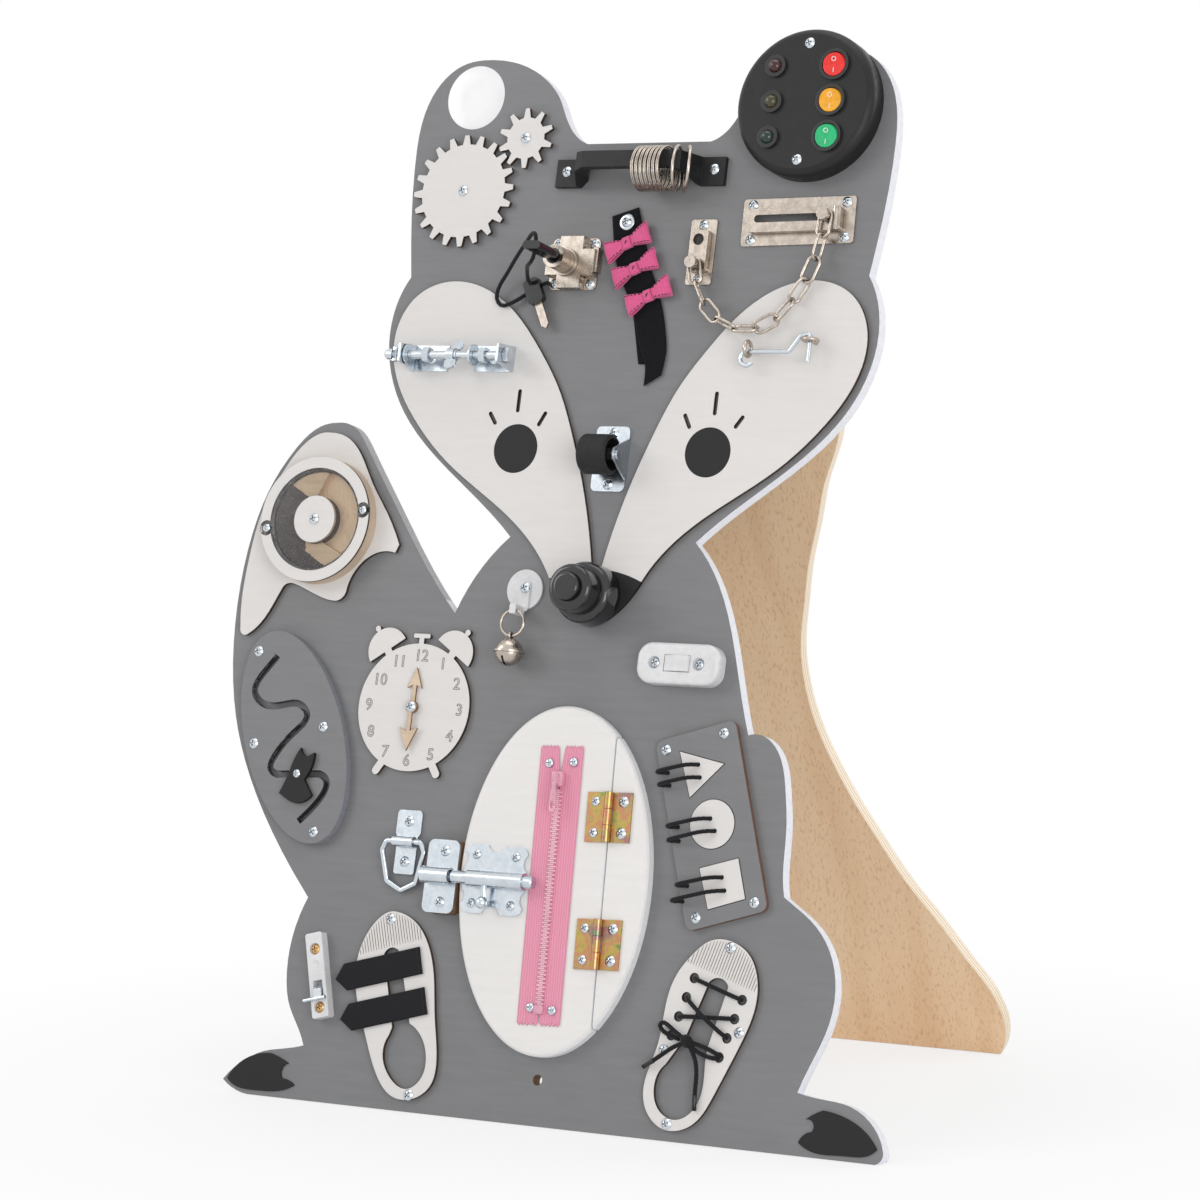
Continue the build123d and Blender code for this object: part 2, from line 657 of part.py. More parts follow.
ribbon = [slab(UNDER_RIBBON, 0, RIBBON_LOW - 0.2)]
ribbon += [drilled(slab(RIBBON, RIBBON_LOW, RIBBON_TOP), [RIBBON_SCREW])]
ribbon += [bow(at) for at in BOWS]
cup_washer = peg(RIBBON_SCREW, 6.2, RIBBON_TOP, RIBBON_TOP + 1.0)
cup_washer -= peg(RIBBON_SCREW, SCREW_R + SHAFT_FIT, 0, 9)
fasten([RIBBON_SCREW], RIBBON_TOP + 1.0)

# ---------------------------------------------------------------- drawer lock and keys
LOCK_MID = (-48.3, 613.9)
BARREL = (-51.3, 613.5)
PLUG_R = 5.6
KEY_W = 33.0
KEY_CORD_R = 1.5
KEY_HEAD = (14.0, 6.0, 27.0)
lock_corners = [(LOCK_MID[0] + x, LOCK_MID[1] + y) for x in (-14.5, 14.5) for y in (-14.5, 14.5)]


def make_lock():
    """Cast case with sunk corners for four screws, and a round barrel."""
    case = tile(LOCK_MID, LOCK_BASE, LOCK_BASE - 1, 0, LOCK_HEIGHT, corner=4)
    case -= [tile(at, 10, 10, SHEET, LOCK_HEIGHT + 1) for at in lock_corners]
    case += tile((LOCK_MID[0] + LOCK_BASE / 2, LOCK_MID[1] + 2), 4, 18, 0, LOCK_HEIGHT - 2)
    case += peg(BARREL, LOCK_BARREL_R + 1.5, LOCK_HEIGHT - 1, LOCK_HEIGHT + 3)
    case += peg(BARREL, LOCK_BARREL_R, LOCK_HEIGHT, LOCK_BARREL_TOP)
    case -= peg(BARREL, PLUG_R + SHAFT_FIT, 2, LOCK_BARREL_TOP + 1)
    return drilled(case, lock_corners)


def make_key():
    """Key in its plug: the plug turns in the barrel."""
    plug = peg(BARREL, PLUG_R, 2.3, LOCK_BARREL_TOP - 0.4)
    blade = tile(BARREL, 8, 2, LOCK_BARREL_TOP - 0.4, KEY_W)
    head = Pos(*BARREL, KEY_W) * extrude(RectangleRounded(KEY_HEAD[0], KEY_HEAD[1], 2.6), KEY_HEAD[2])
    head -= along_v(BARREL[0], BARREL[1] - 9, BARREL[1] + 9, KEY_W + KEY_HEAD[2] - 6, KEY_CORD_R + 0.1)
    return plug + blade + head


SPARE_HEAD = (-75.6, 592.5)
SPARE_TURN = 26.0
SPARE_W = 4.2


def make_spare_key():
    head = extrude(RectangleRounded(12.5, 19, 3), 5.5) - Pos(0, 6, 0) * Cylinder(KEY_CORD_R + 0.1, 20)
    blade = Pos(0, -18, 1.8) * Box(6, 19, 2) + Pos(0, -27.2, 1.8) * Rot(0, 0, 45) * Box(4, 4, 2)
    return Pos(*SPARE_HEAD, SPARE_W) * Rot(0, 0, SPARE_TURN) * (head + blade)


lock_body = make_lock()
lock_key = make_key()
spare_key = make_spare_key()
fasten(lock_corners, SHEET)

KEY_CORD = [(-67.2, 600, 3.2), (-75, 598.5, 1.9), (-85, 591.5, 2.2), (-94, 584.5, 4.9), (-103, 581.5, 5.0)]
KEY_CORD += [(-108.5, 588, 5.2), (-106, 597, 6.5), (-98.5, 605, 10), (-90, 612, 17), (-79.5, 618.5, 26)]
KEY_CORD += [(-69.5, 622, 36), (-61, 624.5, 45.5), (-54.5, 624.5, 52), (BARREL[0], 620, 54), (*BARREL, 54)]
SPARE_CORD = [(-78.23, 597.89, 5.4), (-78.23, 597.89, 12.8), (-76.5, 602.5, 18.5), (-71.5, 604.5, 28)]
SPARE_CORD += [(-65.5, 603.5, 38), (-59.5, 602.0, 47), (-53.8, 602.6, 53)]
SPARE_CORD += [(BARREL[0], 607.5, 54), (*BARREL, 54)]
key_cords = [cord(KEY_CORD, KEY_CORD_R, "key cord"), cord(SPARE_CORD, KEY_CORD_R, "spare key cord")]

# ---------------------------------------------------------------- threaded rod rack
RACK_V = 543.0
RACK_W = OVERLAY + RACK_HEIGHT
LEFT_EAR, RIGHT_EAR = -172.0, -87.5
rack_screws = [(-156.0, RACK_V), (-103.5, RACK_V)]


def angle_bracket(ear_u, base_to):
    """Bent sheet: a base on the mask and a tapered ear that holds the rod."""
    base_mid = (ear_u + base_to) / 2
    base = tile((base_mid, RACK_V), abs(base_to - ear_u), 19, OVERLAY, OVERLAY + RACK_SHEET)
    ear = polygon((-9.5, OVERLAY), (9.5, OVERLAY), (6.5, RACK_W + 10), (-6.5, RACK_W + 10))
    inward = 1 if base_to > ear_u else -1
    ear = in_side_view(ear, RACK_SHEET, ear_u + inward * RACK_SHEET / 2)
    bracket = base + Pos(0, RACK_V, 0) * ear
    return bracket - along_u(ear_u - 5, ear_u + 5, RACK_V, RACK_W, RACK_ROD_R + SHAFT_FIT)


def rod_piece(profile_solid, u):
    """A nut or washer made about +Z, turned to sit on the rod at U."""
    placed = Pos(u, RACK_V, RACK_W) * Rot(0, 90, 0) * profile_solid
    return placed - along_u(u - 12, u + 12, RACK_V, RACK_W, RACK_ROD_R + SHAFT_FIT)


HEX_NUT = extrude(RegularPolygon(5.8, 6), 5)
WASHER = Cylinder(7.8, 1.4)


def make_rack():
    rod = along_u(-183.5, -85.5, RACK_V, RACK_W, RACK_ROD_R)
    rod += Pos(RIGHT_EAR + SHAFT_FIT, RACK_V, RACK_W) * Rot(0, 90, 0) * extrude(RegularPolygon(5.8, 6), 4.5)
    dome = Pos(-185.0, RACK_V, RACK_W) * Sphere(4.2) + along_u(-185, -181.4, RACK_V, RACK_W, 4.2)
    dome += Pos(-181.4, RACK_V, RACK_W) * Rot(0, 90, 0) * extrude(RegularPolygon(5.8, 6), 4.5)
    dome -= along_u(-184, -170, RACK_V, RACK_W, RACK_ROD_R + SHAFT_FIT)
    pieces = [angle_bracket(LEFT_EAR, -142.5), angle_bracket(RIGHT_EAR, -118.8), rod, dome]
    pieces += [rod_piece(WASHER, -168.8), rod_piece(WASHER, -113.9)]
    pieces += [rod_piece(HEX_NUT, -155.3), rod_piece(HEX_NUT, -107.8)]
    return pieces


def make_wing_nut():
    """Two ears on a conical hub; it spins on the rod."""
    hub = Cylinder(5, 6) + Pos(0, 0, 3) * Cylinder(4, 3)
    for side in (-1, 1):
        ear = Pos(side * 8.5, 0, 1.5) * Rot(0, side * 40, 0) * Rot(90, 0, 0) * Cylinder(4.6, 2)
        arm = Pos(side * 6, 0, 0.5) * Rot(0, side * 25, 0) * Box(6, 2.4, 6)
        hub += ear + arm
    return rod_piece(Rot(0, 0, 62) * hub, -132.0)


bolt_rack = make_rack()
wing_nut = make_wing_nut()
bolt_rack[0] = drilled(bolt_rack[0], rack_screws)
bolt_rack[1] = drilled(bolt_rack[1], rack_screws)
masks[1] = drilled(masks[1], rack_screws)
fasten(rack_screws, OVERLAY + RACK_SHEET)

# ---------------------------------------------------------------- caster
CASTER_V = 472.0
CASTER_EAR_U = 13.3
caster_screws = [(0.2, 490.5), (0.2, 453.5)]


def make_caster_bracket():
    """Plate with one bent-up ear; the axle is riveted into it."""
    plate = tile((0, CASTER_V), 27, 47, 0, SHEET, corner=4)
    tip = CASTER_AXLE_W + 3
    ear = outline([(15.5, 0)], [(5.5, tip)], [(0, tip + 3.5), (-5.5, tip)], [(-15.5, 0)])
    plate += Pos(0, CASTER_V, 0) * in_side_view(ear, SHEET, CASTER_EAR_U)
    axle_end = CASTER_EAR_U - CASTER_WIDTH - 3
    axle = along_u(CASTER_EAR_U + SHEET / 2 + 1.2, axle_end, CASTER_V, CASTER_AXLE_W, 2.0)
    rivet = along_u(CASTER_EAR_U + SHEET / 2, CASTER_EAR_U + SHEET / 2 + 1.5, CASTER_V, CASTER_AXLE_W, 3.6)
    return drilled(plate + axle + rivet, caster_screws, high=10)


def make_caster_wheel():
    """Rubber-tyred roller, hollow at the end that faces the ear."""
    right = CASTER_EAR_U - SHEET / 2 - 2.0
    left = right - CASTER_WIDTH
    wheel = fillet(along_u(left, right, CASTER_V, CASTER_AXLE_W, CASTER_R).edges(), 2.5)
    wheel -= along_u(right - 14, right + 1, CASTER_V, CASTER_AXLE_W, CASTER_R - 3)
    wheel += along_u(left + 1, right - 1, CASTER_V, CASTER_AXLE_W, 4.5)
    return wheel - along_u(left - 1, right + 1, CASTER_V, CASTER_AXLE_W, 2.0 + SHAFT_FIT)


caster_bracket = make_caster_bracket()
caster_wheel = make_caster_wheel()
fasten(caster_screws, SHEET)

# ---------------------------------------------------------------- nose knob
BUTTON_TOP = KNOB_TOP + 5.0
BUTTON_FLANGE = NOSE_BUTTON_R + 2


def make_knob():
    """Stepped knob with a thumb hollow, bored for its push button."""
    base_top = 22.0
    knob = fillet(peg((0, 0), KNOB_R, OVERLAY, base_top).edges().sort_by(Axis.Z)[-1:], 5)
    front = fillet(peg((0, 0), KNOB_FACE_R, base_top - 1, KNOB_TOP).edges().sort_by(Axis.Z)[-1:], 4)
    knob += front
    knob -= Pos(0, 0, base_top + 1.2) * (Cylinder(KNOB_FACE_R + 3, 1.6) - Cylinder(KNOB_FACE_R - 1.5, 1.6))
    knob -= Pos(KNOB_R + 2, -1, 13) * Rot(0, 25, 0) * Cylinder(6.5, 12)
    knob -= peg((0, 0), NOSE_BUTTON_R + FINE, KNOB_TOP - 4, KNOB_TOP + 1)
    knob -= peg((0, 0), BUTTON_FLANGE + FINE, KNOB_TOP - 14, KNOB_TOP - 4)
    return Pos(*NOSE, 0) * knob


def make_nose_button():
    cap = fillet(peg((0, 0), NOSE_BUTTON_R, KNOB_TOP - 5, BUTTON_TOP).edges().sort_by(Axis.Z)[-1:], 2.5)
    cap += peg((0, 0), BUTTON_FLANGE, KNOB_TOP - 4 - FINE - 3, KNOB_TOP - 4 - FINE)
    return Pos(*NOSE, 0) * cap


knob_base = make_knob()
nose_button = make_nose_button()

# ---------------------------------------------------------------- bell
BELL_U = -57.0
BELL_MID = (BELL_U, 329.0, 12.8)
LOOP_R = 9.3
LOOP_V = 349.7
bell_screw = (BELL_U + 1, 377.0)


def make_bell_mount():
    """Plastic washer, and a folded clip that holds the ring."""
    washer = peg((BELL_U, 376), 14.5, 0, SHEET) - peg(bell_screw, SCREW_R + SHAFT_FIT, -1, 5)
    clip = tile((BELL_U + 0.5, 371), 9, 22, SHEET, SHEET + 1.2, corner=3)
    clip += tile((BELL_U, 359.9), 5, 7, SHEET + 1.2, BELL_MID[2] + 2.6, corner=1)
    clip -= along_u(BELL_U - 8, BELL_U + 8, LOOP_V + LOOP_R - 0.2, BELL_MID[2], 1.4)
    clip -= peg(bell_screw, SCREW_R + SHAFT_FIT, 0, 12)
    return [washer, clip]


def make_bell():
    """Hollow two-part bell on a wire ring, with a clapper ball inside."""
    ring = Pos(BELL_U, LOOP_V, BELL_MID[2]) * Torus(LOOP_R, 0.9)
    shell = Sphere(BELL_R) + Cylinder(BELL_R + 1.3, 1.6)
    shell = Rot(90, 0, 0) * shell - Sphere(BELL_R - BELL_WALL)
    shell -= Pos(0, -BELL_R, 0) * Box(1.6, 12, 30)
    shell += Pos(0, BELL_R + 1.6, 0) * Rot(0, 90, 0) * Torus(2.2, 0.9)
    clapper = Pos(0, -BELL_R + BELL_WALL + 2.6, 0) * Sphere(2.3)
    return [ring, Pos(*BELL_MID) * shell, Pos(*BELL_MID) * clapper]


bell_mount = make_bell_mount()
bell = make_bell()
fasten([bell_screw], SHEET + 1.2)

# ---------------------------------------------------------------- lamp switch
LAMP_MID = (77.5, 326.8)
LAMP_PIVOT_W = LAMP_HEIGHT - 3.0
LAMP_TILT = 6.0
LAMP_ROCKER = (10.3, 5.6)
lamp_screws = [(LAMP_MID[0] - 18, LAMP_MID[1]), (LAMP_MID[0] + 17, LAMP_MID[1])]


def make_lamp_switch():
    """Moulded in-line switch body with an opening for its rocker."""
    flat = extrude(RectangleRounded(LAMP_LENGTH, LAMP_WIDTH, 11), LAMP_HEIGHT)
    body = fillet(flat.edges().group_by(Axis.Z)[-1], 3)
    bay = Cylinder(LAMP_ROCKER[0] + FINE, 2 * LAMP_ROCKER[1] + 2 * FINE)
    body -= Pos(0, 0, LAMP_PIVOT_W) * Rot(90, 0, 0) * bay
    body = Pos(*LAMP_MID, 0) * body
    body -= [peg(at, SCREW_HEAD_R + 0.6, LAMP_HEIGHT - 2.5, LAMP_HEIGHT + 3) for at in lamp_screws]
    pivot = along_v(LAMP_MID[0], LAMP_MID[1] - 9, LAMP_MID[1] + 9, LAMP_PIVOT_W, 1.2 + SHAFT_FIT)
    return drilled(body - pivot, lamp_screws)


def make_lamp_rocker():
    half = LAMP_ROCKER[0]
    rise = 1.0 + half * tan(radians(LAMP_TILT))
    profile = polygon((-half, -6), (half, -6), (half, 3.5), (0, 3.5 + rise), (-half, 3.5))
    round_ends = Rot(90, 0, 0) * Cylinder(half, 2 * LAMP_ROCKER[1])
    button = round_ends & in_top_view(profile, 40, 0)
    button += along_v(0, -LAMP_ROCKER[1] - 1.5, LAMP_ROCKER[1] + 1.5, 0, 1.2)
    return Pos(*LAMP_MID, LAMP_PIVOT_W) * Rot(0, -LAMP_TILT, 0) * button


lamp_body = make_lamp_switch()
lamp_rocker = make_lamp_rocker()
fasten(lamp_screws, LAMP_HEIGHT - 2.5)

# ---------------------------------------------------------------- sand wheel
WHEEL_MID = (-234.0, 420.0)
WHEEL_LOW = OVERLAY + FINE
WHEEL_FLOOR = 3.0
WINDOW = 2.0
tab_places = [(sx * 41.5 * cos(radians(10.7)), sx * 41.5 * sin(radians(10.7))) for sx in (-1, 1)]


def make_sand_wheel():
    """Plywood floor, wall ring and hub, with seeds sealed under a clear window."""
    rim_top = WHEEL_LOW + WHEEL_DEPTH - WINDOW
    floor = Cylinder(WHEEL_R, WHEEL_FLOOR).moved(Pos(0, 0, WHEEL_LOW + WHEEL_FLOOR / 2))
    wall = peg((0, 0), WHEEL_R, WHEEL_LOW + WHEEL_FLOOR, rim_top)
    wall -= peg((0, 0), WHEEL_WINDOW_R, WHEEL_LOW, rim_top + 1)
    hub = peg((0, 0), WHEEL_HUB_R, WHEEL_LOW + WHEEL_FLOOR, rim_top)
    tabs = [peg(at, 5.5, rim_top, rim_top + WINDOW) for at in tab_places]
    window = peg((0, 0), WHEEL_WINDOW_R + 2, rim_top, rim_top + WINDOW) + tabs
    window -= peg((0, 0), WHEEL_HUB_R + 0.2, rim_top - 1, rim_top + WINDOW + 1)
    face = peg((0, 0), WHEEL_R, rim_top, rim_top + WINDOW)
    face -= peg((0, 0), WHEEL_WINDOW_R + 2.2, rim_top - 1, rim_top + WINDOW + 1)
    face -= [peg(at, 5.7, rim_top - 1, rim_top + WINDOW + 1) for at in tab_places]
    cap = peg((0, 0), WHEEL_HUB_R, rim_top, rim_top + WINDOW)
    seeds = peg((0, 0), WHEEL_WINDOW_R - FINE, WHEEL_LOW + WHEEL_FLOOR, rim_top - 2)
    seeds -= peg((0, 0), WHEEL_HUB_R + FINE, 0, rim_top)
    seeds -= Rot(0, 0, -25) * Pos(40, 18, 0) * Box(100, 60, 60)
    tab_screws = [Pos(*at, rim_top + WINDOW) * pan_screw(5, 3.0, 1.6) for at in tab_places]
    bore = peg((0, 0), SCREW_R + SHAFT_FIT, 0, 40)
    holes = [peg(at, SCREW_R + SHAFT_FIT, rim_top - 5.2, rim_top + 9) for at in tab_places]
    wheel = [floor - bore, wall - holes, hub - bore, window - holes, face, cap - bore]
    wheel += [*seeds.solids(), *tab_screws]
    return [Pos(*WHEEL_MID, 0) * piece for piece in wheel]


sand_wheel = make_sand_wheel()
fasten([WHEEL_MID], WHEEL_LOW + WHEEL_DEPTH + FINE)
tail_badge = drilled(tail_badge, [WHEEL_MID])

# ---------------------------------------------------------------- maze
MAZE_MID = (-233.5, 260.4)
maze_screws = [(-273, 321.6), (-209, 268.7), (-267, 253.5), (-206, 192)]
MAZE_STRAIGHT = [(-243.0, 232.0), (-207.0, 234.2)]
MAZE_UPPER = [(-256, 319), (-267.5, 304), (-272, 292), (-264, 283.5), (-246, 283), (-230, 283.5)]
MAZE_UPPER += [(-224, 277), (-233, 263.4), (-246.3, 247), (-250, 237), MAZE_STRAIGHT[0]]
MAZE_LOWER = [MAZE_STRAIGHT[1], (-200, 229), (-204, 216), (-219.8, 198.8)]
SLIDER = (-224.5, 233.1)


def make_maze():
    oval = extrude(Ellipse(41.4, 82.4), MAZE_PLY)
    maze = Pos(*MAZE_MID, 0) * Rot(0, 0, 23.8) * oval
    track = [Spline(*MAZE_UPPER).edge(), Line(*MAZE_STRAIGHT).edge(), Spline(*MAZE_LOWER).edge()]
    maze -= extrude(trace(track, MAZE_SLOT), MAZE_PLY)
    return drilled(maze, maze_screws)


def make_slider():
    """Small cut-out animal on a pin that runs in the slot."""
    head = outline(
        [(-3, 9), (2, 19)],
        [(5, 14), (9, 13)],
        [(14, 16)],
        [(13, 6), (8, -4)],
        [(16, -15)],
        [(10, -20), (-3, -20)],
        [(-12, -15)],
        [(-8, -6), (-5, 2)],
    )
    body = slab(head, MAZE_PLY + FINE, MAZE_PLY + FINE + 3)
    body = Pos(SLIDER[0] - 1, SLIDER[1], 0) * body
    pin = peg(SLIDER, 2.3, FINE, MAZE_PLY + FINE)
    return body + pin


maze_panel = make_maze()
maze_slider = make_slider()
slider_screw = Pos(*SLIDER, MAZE_PLY + FINE + 3) * pan_screw(3, 3.0, 1.6)
maze_slider -= peg(SLIDER, SCREW_R + SHAFT_FIT, MAZE_PLY + FINE - 0.2, 20)
fasten(maze_screws, MAZE_PLY)

# ---------------------------------------------------------------- clock
CLOCK_MID = (-136.3, 287.0)


def make_clock():
    """Cut-out alarm clock: round face, two bells, top button and feet."""
    face = Sketch() + Circle(CLOCK_R)
    for side in (-1, 1):
        bell_at = Pos(side * 27.5, 40.5) * Rot(0, 0, -side * 34)
        dome = Circle(16.5) & Pos(0, 17) * Rectangle(40, 34)
        face += bell_at * (dome + Pos(0, 15.5) * Rectangle(3, 5) + Pos(0, 18.5) * Circle(2.2))
        face += bell_at * Pos(0, -2) * Rectangle(6, 8)
        foot = Pos(side * 22, -42) * Rot(0, 0, side * 33) * SlotOverall(18, 6, rotation=90)
        face += foot
    face += Pos(0, 47.5) * Rectangle(4, 8)
    face += Pos(0, 52) * RectangleRounded(14, 3.2, 1.2)
    plate = extrude(face, OVERLAY)
    return drilled(Pos(*CLOCK_MID, 0) * plate, [CLOCK_MID])


def hand(length, head_half, head_length, low):
    """Arrow-shaped hand, drawn pointing up the panel."""
    shape = Sketch() + Circle(4.5)
    shape += Pos(0, (length - head_length / 2) / 2) * Rectangle(3, length - head_length / 2)
    arrow = [(0, length), (-head_half, length - head_length), (0, length - head_length * 0.8)]
    shape += make_face(Polyline(*arrow, (head_half, length - head_length), (0, length)))
    solid = Pos(0, 0, low) * extrude(shape, CLOCK_HAND_PLY)
    return solid - Cylinder(SCREW_R + SHAFT_FIT, 60)


HAND_LOW = OVERLAY + FINE
clock_face = make_clock()
hour_hand = Pos(*CLOCK_MID, 0) * hand(28.7, 6, 15, HAND_LOW)
minute_hand = Pos(*CLOCK_MID, 0) * Rot(0, 0, 180) * hand(32, 7.5, 17, HAND_LOW + CLOCK_HAND_PLY + FINE)
fasten([CLOCK_MID], HAND_LOW + 2 * CLOCK_HAND_PLY + 2 * FINE)

# ---------------------------------------------------------------- lashing ring
DRING_U, DRING_V, DRING_W = -128.3, 190.0, 6.2
DRING_WIRE = 2.0
DRING_DROOP = 6.3  # degrees that the ring drops to lie on the panel
dring_screws = [(DRING_U, 205.0), (DRING_U, 176.0)]


def make_dring_plate():
    """Two-screw strap with a rolled bridge over the ring's straight side."""
    plate = tile((DRING_U, 203.5), 20.5, 19, 0, BOLT_SHEET, corner=3)
    plate += tile((DRING_U, 178.5), 17, 23, 0, BOLT_SHEET, corner=2)
    plate += tile((DRING_U, DRING_V), 17, 9, 0, BOLT_SHEET)
    bridge = along_u(DRING_U - 8.5, DRING_U + 8.5, DRING_V, DRING_W, DRING_WIRE + SHAFT_FIT + 1.8)
    plate += bridge + tile((DRING_U, DRING_V), 17, 6, 0, 5)
    plate -= along_u(DRING_U - 20, DRING_U + 20, DRING_V, DRING_W, DRING_WIRE + SHAFT_FIT)
    return drilled(plate, dring_screws)


def make_dring():
    corners = [(14.5, 190), (17.5, 183), (12, 161), (0, 155), (-12, 161), (-17.5, 183), (-14.5, 190)]
    points = [(DRING_U + u, v, DRING_W) for u, v in corners]
    path = FilletPolyline(*points, radius=3.2, close=True)
    start = Plane(origin=path @ 0, z_dir=path % 0)
    ring = sweep(start * Circle(DRING_WIRE), path=path)
    return ring.rotate(Axis((0, DRING_V, DRING_W), (1, 0, 0)), DRING_DROOP)


dring_plate = make_dring_plate()
d_ring = make_dring()
fasten(dring_screws, BOLT_SHEET)

# ---------------------------------------------------------------- door and its hinges
DOOR_MID = (-2.5, 170.5)
DOOR_TURN = 2.0
DOOR_LOW, DOOR_TOP = FINE, FINE + DOOR_PLY
DOOR = Pos(*DOOR_MID, 0) * Rot(0, 0, DOOR_TURN)
PIN_W = DOOR_TOP + HINGE_KNUCKLE_R + FINE
HINGE_PLACES = [45.0, -43.5]
KNUCKLE = HINGE_LENGTH / 3


def on_door(x, y):
    place = Vector(x, y, 0).rotate(Axis.Z, DOOR_TURN)
    return (DOOR_MID[0] + place.X, DOOR_MID[1] + place.Y)


def door_screw(x, y, seat):
    """A screw that bites into the door only."""
    return Pos(x, y, seat) * Rot(0, 0, x) * pan_screw(SCREW_BITE - 1, 3.4, 2.0)


def make_door():
    oval = Ellipse(DOOR_HALF_WIDTH, DOOR_HALF_HEIGHT)
    plate = Pos(0, 0, DOOR_LOW) * extrude(oval, DOOR_PLY)
    plate = fillet(plate.edges().group_by(Axis.Z)[-1], 3)
    cut = DOOR_SEAM - DOOR_GAP / 2
    return plate - Pos(cut + 100, 0, 0) * Box(200, 400, 60)


def make_jamb():
    """The fixed segment of the oval, which the hinges are screwed to."""
    plate = extrude(Ellipse(DOOR_HALF_WIDTH, DOOR_HALF_HEIGHT), DOOR_PLY)
    plate = fillet(plate.edges().group_by(Axis.Z)[-1], 3)
    return plate - Pos(DOOR_SEAM + DOOR_GAP / 2 - 200, 0, 0) * Box(400, 400, 60)


def knuckles(y, low, high, bore):
    barrel = along_v(DOOR_SEAM, y + low, y + high, PIN_W, HINGE_KNUCKLE_R)
    return barrel - along_v(DOOR_SEAM, y + low - 1, y + high + 1, PIN_W, bore) if bore else barrel


def leaf(side, y, top, fixed):
    """One hinge leaf; it reaches the pin only where its own knuckles are."""
    far, near, under = HINGE_LEAF + 1.5, HINGE_KNUCKLE_R + FINE, top + HINGE_SHEET
    plate = Pos(DOOR_SEAM + side * (far + near) / 2, y, top + HINGE_SHEET / 2)
    plate = plate * Box(far - near, HINGE_LENGTH, HINGE_SHEET)
    spans = [(-1.5, -0.5), (0.5, 1.5)] if fixed else [(-0.5, 0.5)]
    gap = 0 if fixed else FINE
    for low, high in spans:
        start, end = low * KNUCKLE + gap, high * KNUCKLE - gap
        plate += knuckles(y, start, end, 0)
        tongue = Pos(DOOR_SEAM + side * (near + 1.5) / 2, y + (start + end) / 2, under - HINGE_SHEET / 2)
        plate += tongue * Box(near - 1.4, end - start, HINGE_SHEET)
    if fixed:
        return plate + along_v(DOOR_SEAM, y - HINGE_LENGTH / 2, y + HINGE_LENGTH / 2, PIN_W, HINGE_PIN_R)
    return plate - along_v(DOOR_SEAM, y - HINGE_LENGTH, y + HINGE_LENGTH, PIN_W, HINGE_PIN_R + SHAFT_FIT)


def leaf_screws(side, y):
    return [(DOOR_SEAM + side * 11, y + 11), (DOOR_SEAM + side * 11, y - 11)]


door_panel = make_door()
door_jamb = make_jamb()
door_leaves, jamb_leaves = [], []
for hinge_y in HINGE_PLACES:
    inner = leaf_screws(-1, hinge_y)
    outer = leaf_screws(1, hinge_y)
    moving = drilled(leaf(-1, hinge_y, DOOR_TOP, False), inner)
    door_panel = drilled(door_panel, inner, low=2)
    door_leaves += [moving] + [door_screw(*at, DOOR_TOP + HINGE_SHEET) for at in inner]
    jamb_leaves.append(drilled(leaf(1, hinge_y, DOOR_PLY, True), outer))
    door_jamb = drilled(door_jamb, outer)
    fasten([on_door(*at) for at in outer], DOOR_PLY + HINGE_SHEET)

# ---------------------------------------------------------------- barrel bolt
BOLT_V = 167.0
KEEPER_U = -91.4
KEEPER_WIDTH = 25.5
GUIDE_MID = (-47.6, 167.3)
BARREL_ENDS = (-64.7, -19.7)
ROD_ENDS = (-78.5, -12.0)
HANDLE_U = -51.0
BOLT_TRAVEL = (-8.5, 16.0)
keeper_screws = [(-90.0, 185.1), (-89.8, 148.7)]
guide_screws = [(-63.9, 184.4), (-31.9, 184.4), (-63.9, 150.0), (-31.9, 150.0)]


def make_keeper():
    """Packed-out plate with the tube that catches the bolt."""
    spacer = tile((KEEPER_U, BOLT_V), KEEPER_WIDTH, 52, 0, DOOR_PLY, corner=5)
    plate = tile((KEEPER_U, BOLT_V), KEEPER_WIDTH, 52, DOOR_PLY, DOOR_PLY + BOLT_SHEET, corner=5)
    tube_ends = (KEEPER_U - KEEPER_WIDTH / 2 + 1.5, KEEPER_U + KEEPER_WIDTH / 2 - 1)
    plate += along_u(*tube_ends, BOLT_V, BOLT_AXIS, BOLT_R + 1.6)
    plate += tile((KEEPER_U + 0.25, BOLT_V), KEEPER_WIDTH - 2.5, 9, DOOR_PLY + BOLT_SHEET, BOLT_AXIS - BOLT_R)
    plate -= along_u(-120, -60, BOLT_V, BOLT_AXIS, BOLT_R + SHAFT_FIT)
    return [drilled(piece, keeper_screws) for piece in (spacer, plate)]


def make_guide():
    """Scalloped plate with a slotted barrel for the bolt rod."""
    top = DOOR_TOP + BOLT_SHEET
    plate = tile(GUIDE_MID, 50, 48.7, DOOR_TOP, top, corner=6)
    for side in (-1, 1):
        bite = (GUIDE_MID[0], GUIDE_MID[1] + side * 27)
        plate -= peg(bite, 8, 0, 40)
        plate -= peg((GUIDE_MID[0] + side * 30, GUIDE_MID[1] + 13), 7.5, 0, 40)
        plate -= peg((GUIDE_MID[0] + side * 30, GUIDE_MID[1] - 13), 7.5, 0, 40)
    plate += along_u(*BARREL_ENDS, BOLT_V, BOLT_AXIS, BOLT_R + 1.6)
    plate += tile((sum(BARREL_ENDS) / 2, BOLT_V), 45, 9, top, BOLT_AXIS - BOLT_R)
    plate -= along_u(-90, 0, BOLT_V, BOLT_AXIS, BOLT_R + SHAFT_FIT)
    slot = (HANDLE_U + BOLT_TRAVEL[0] - 2.3, HANDLE_U + BOLT_TRAVEL[1] + 2.3)
    plate -= Pos(sum(slot) / 2, BOLT_V - 10, BOLT_AXIS + 0.5) * Box(slot[1] - slot[0], 20, 6.0)
    return drilled(plate, guide_screws)


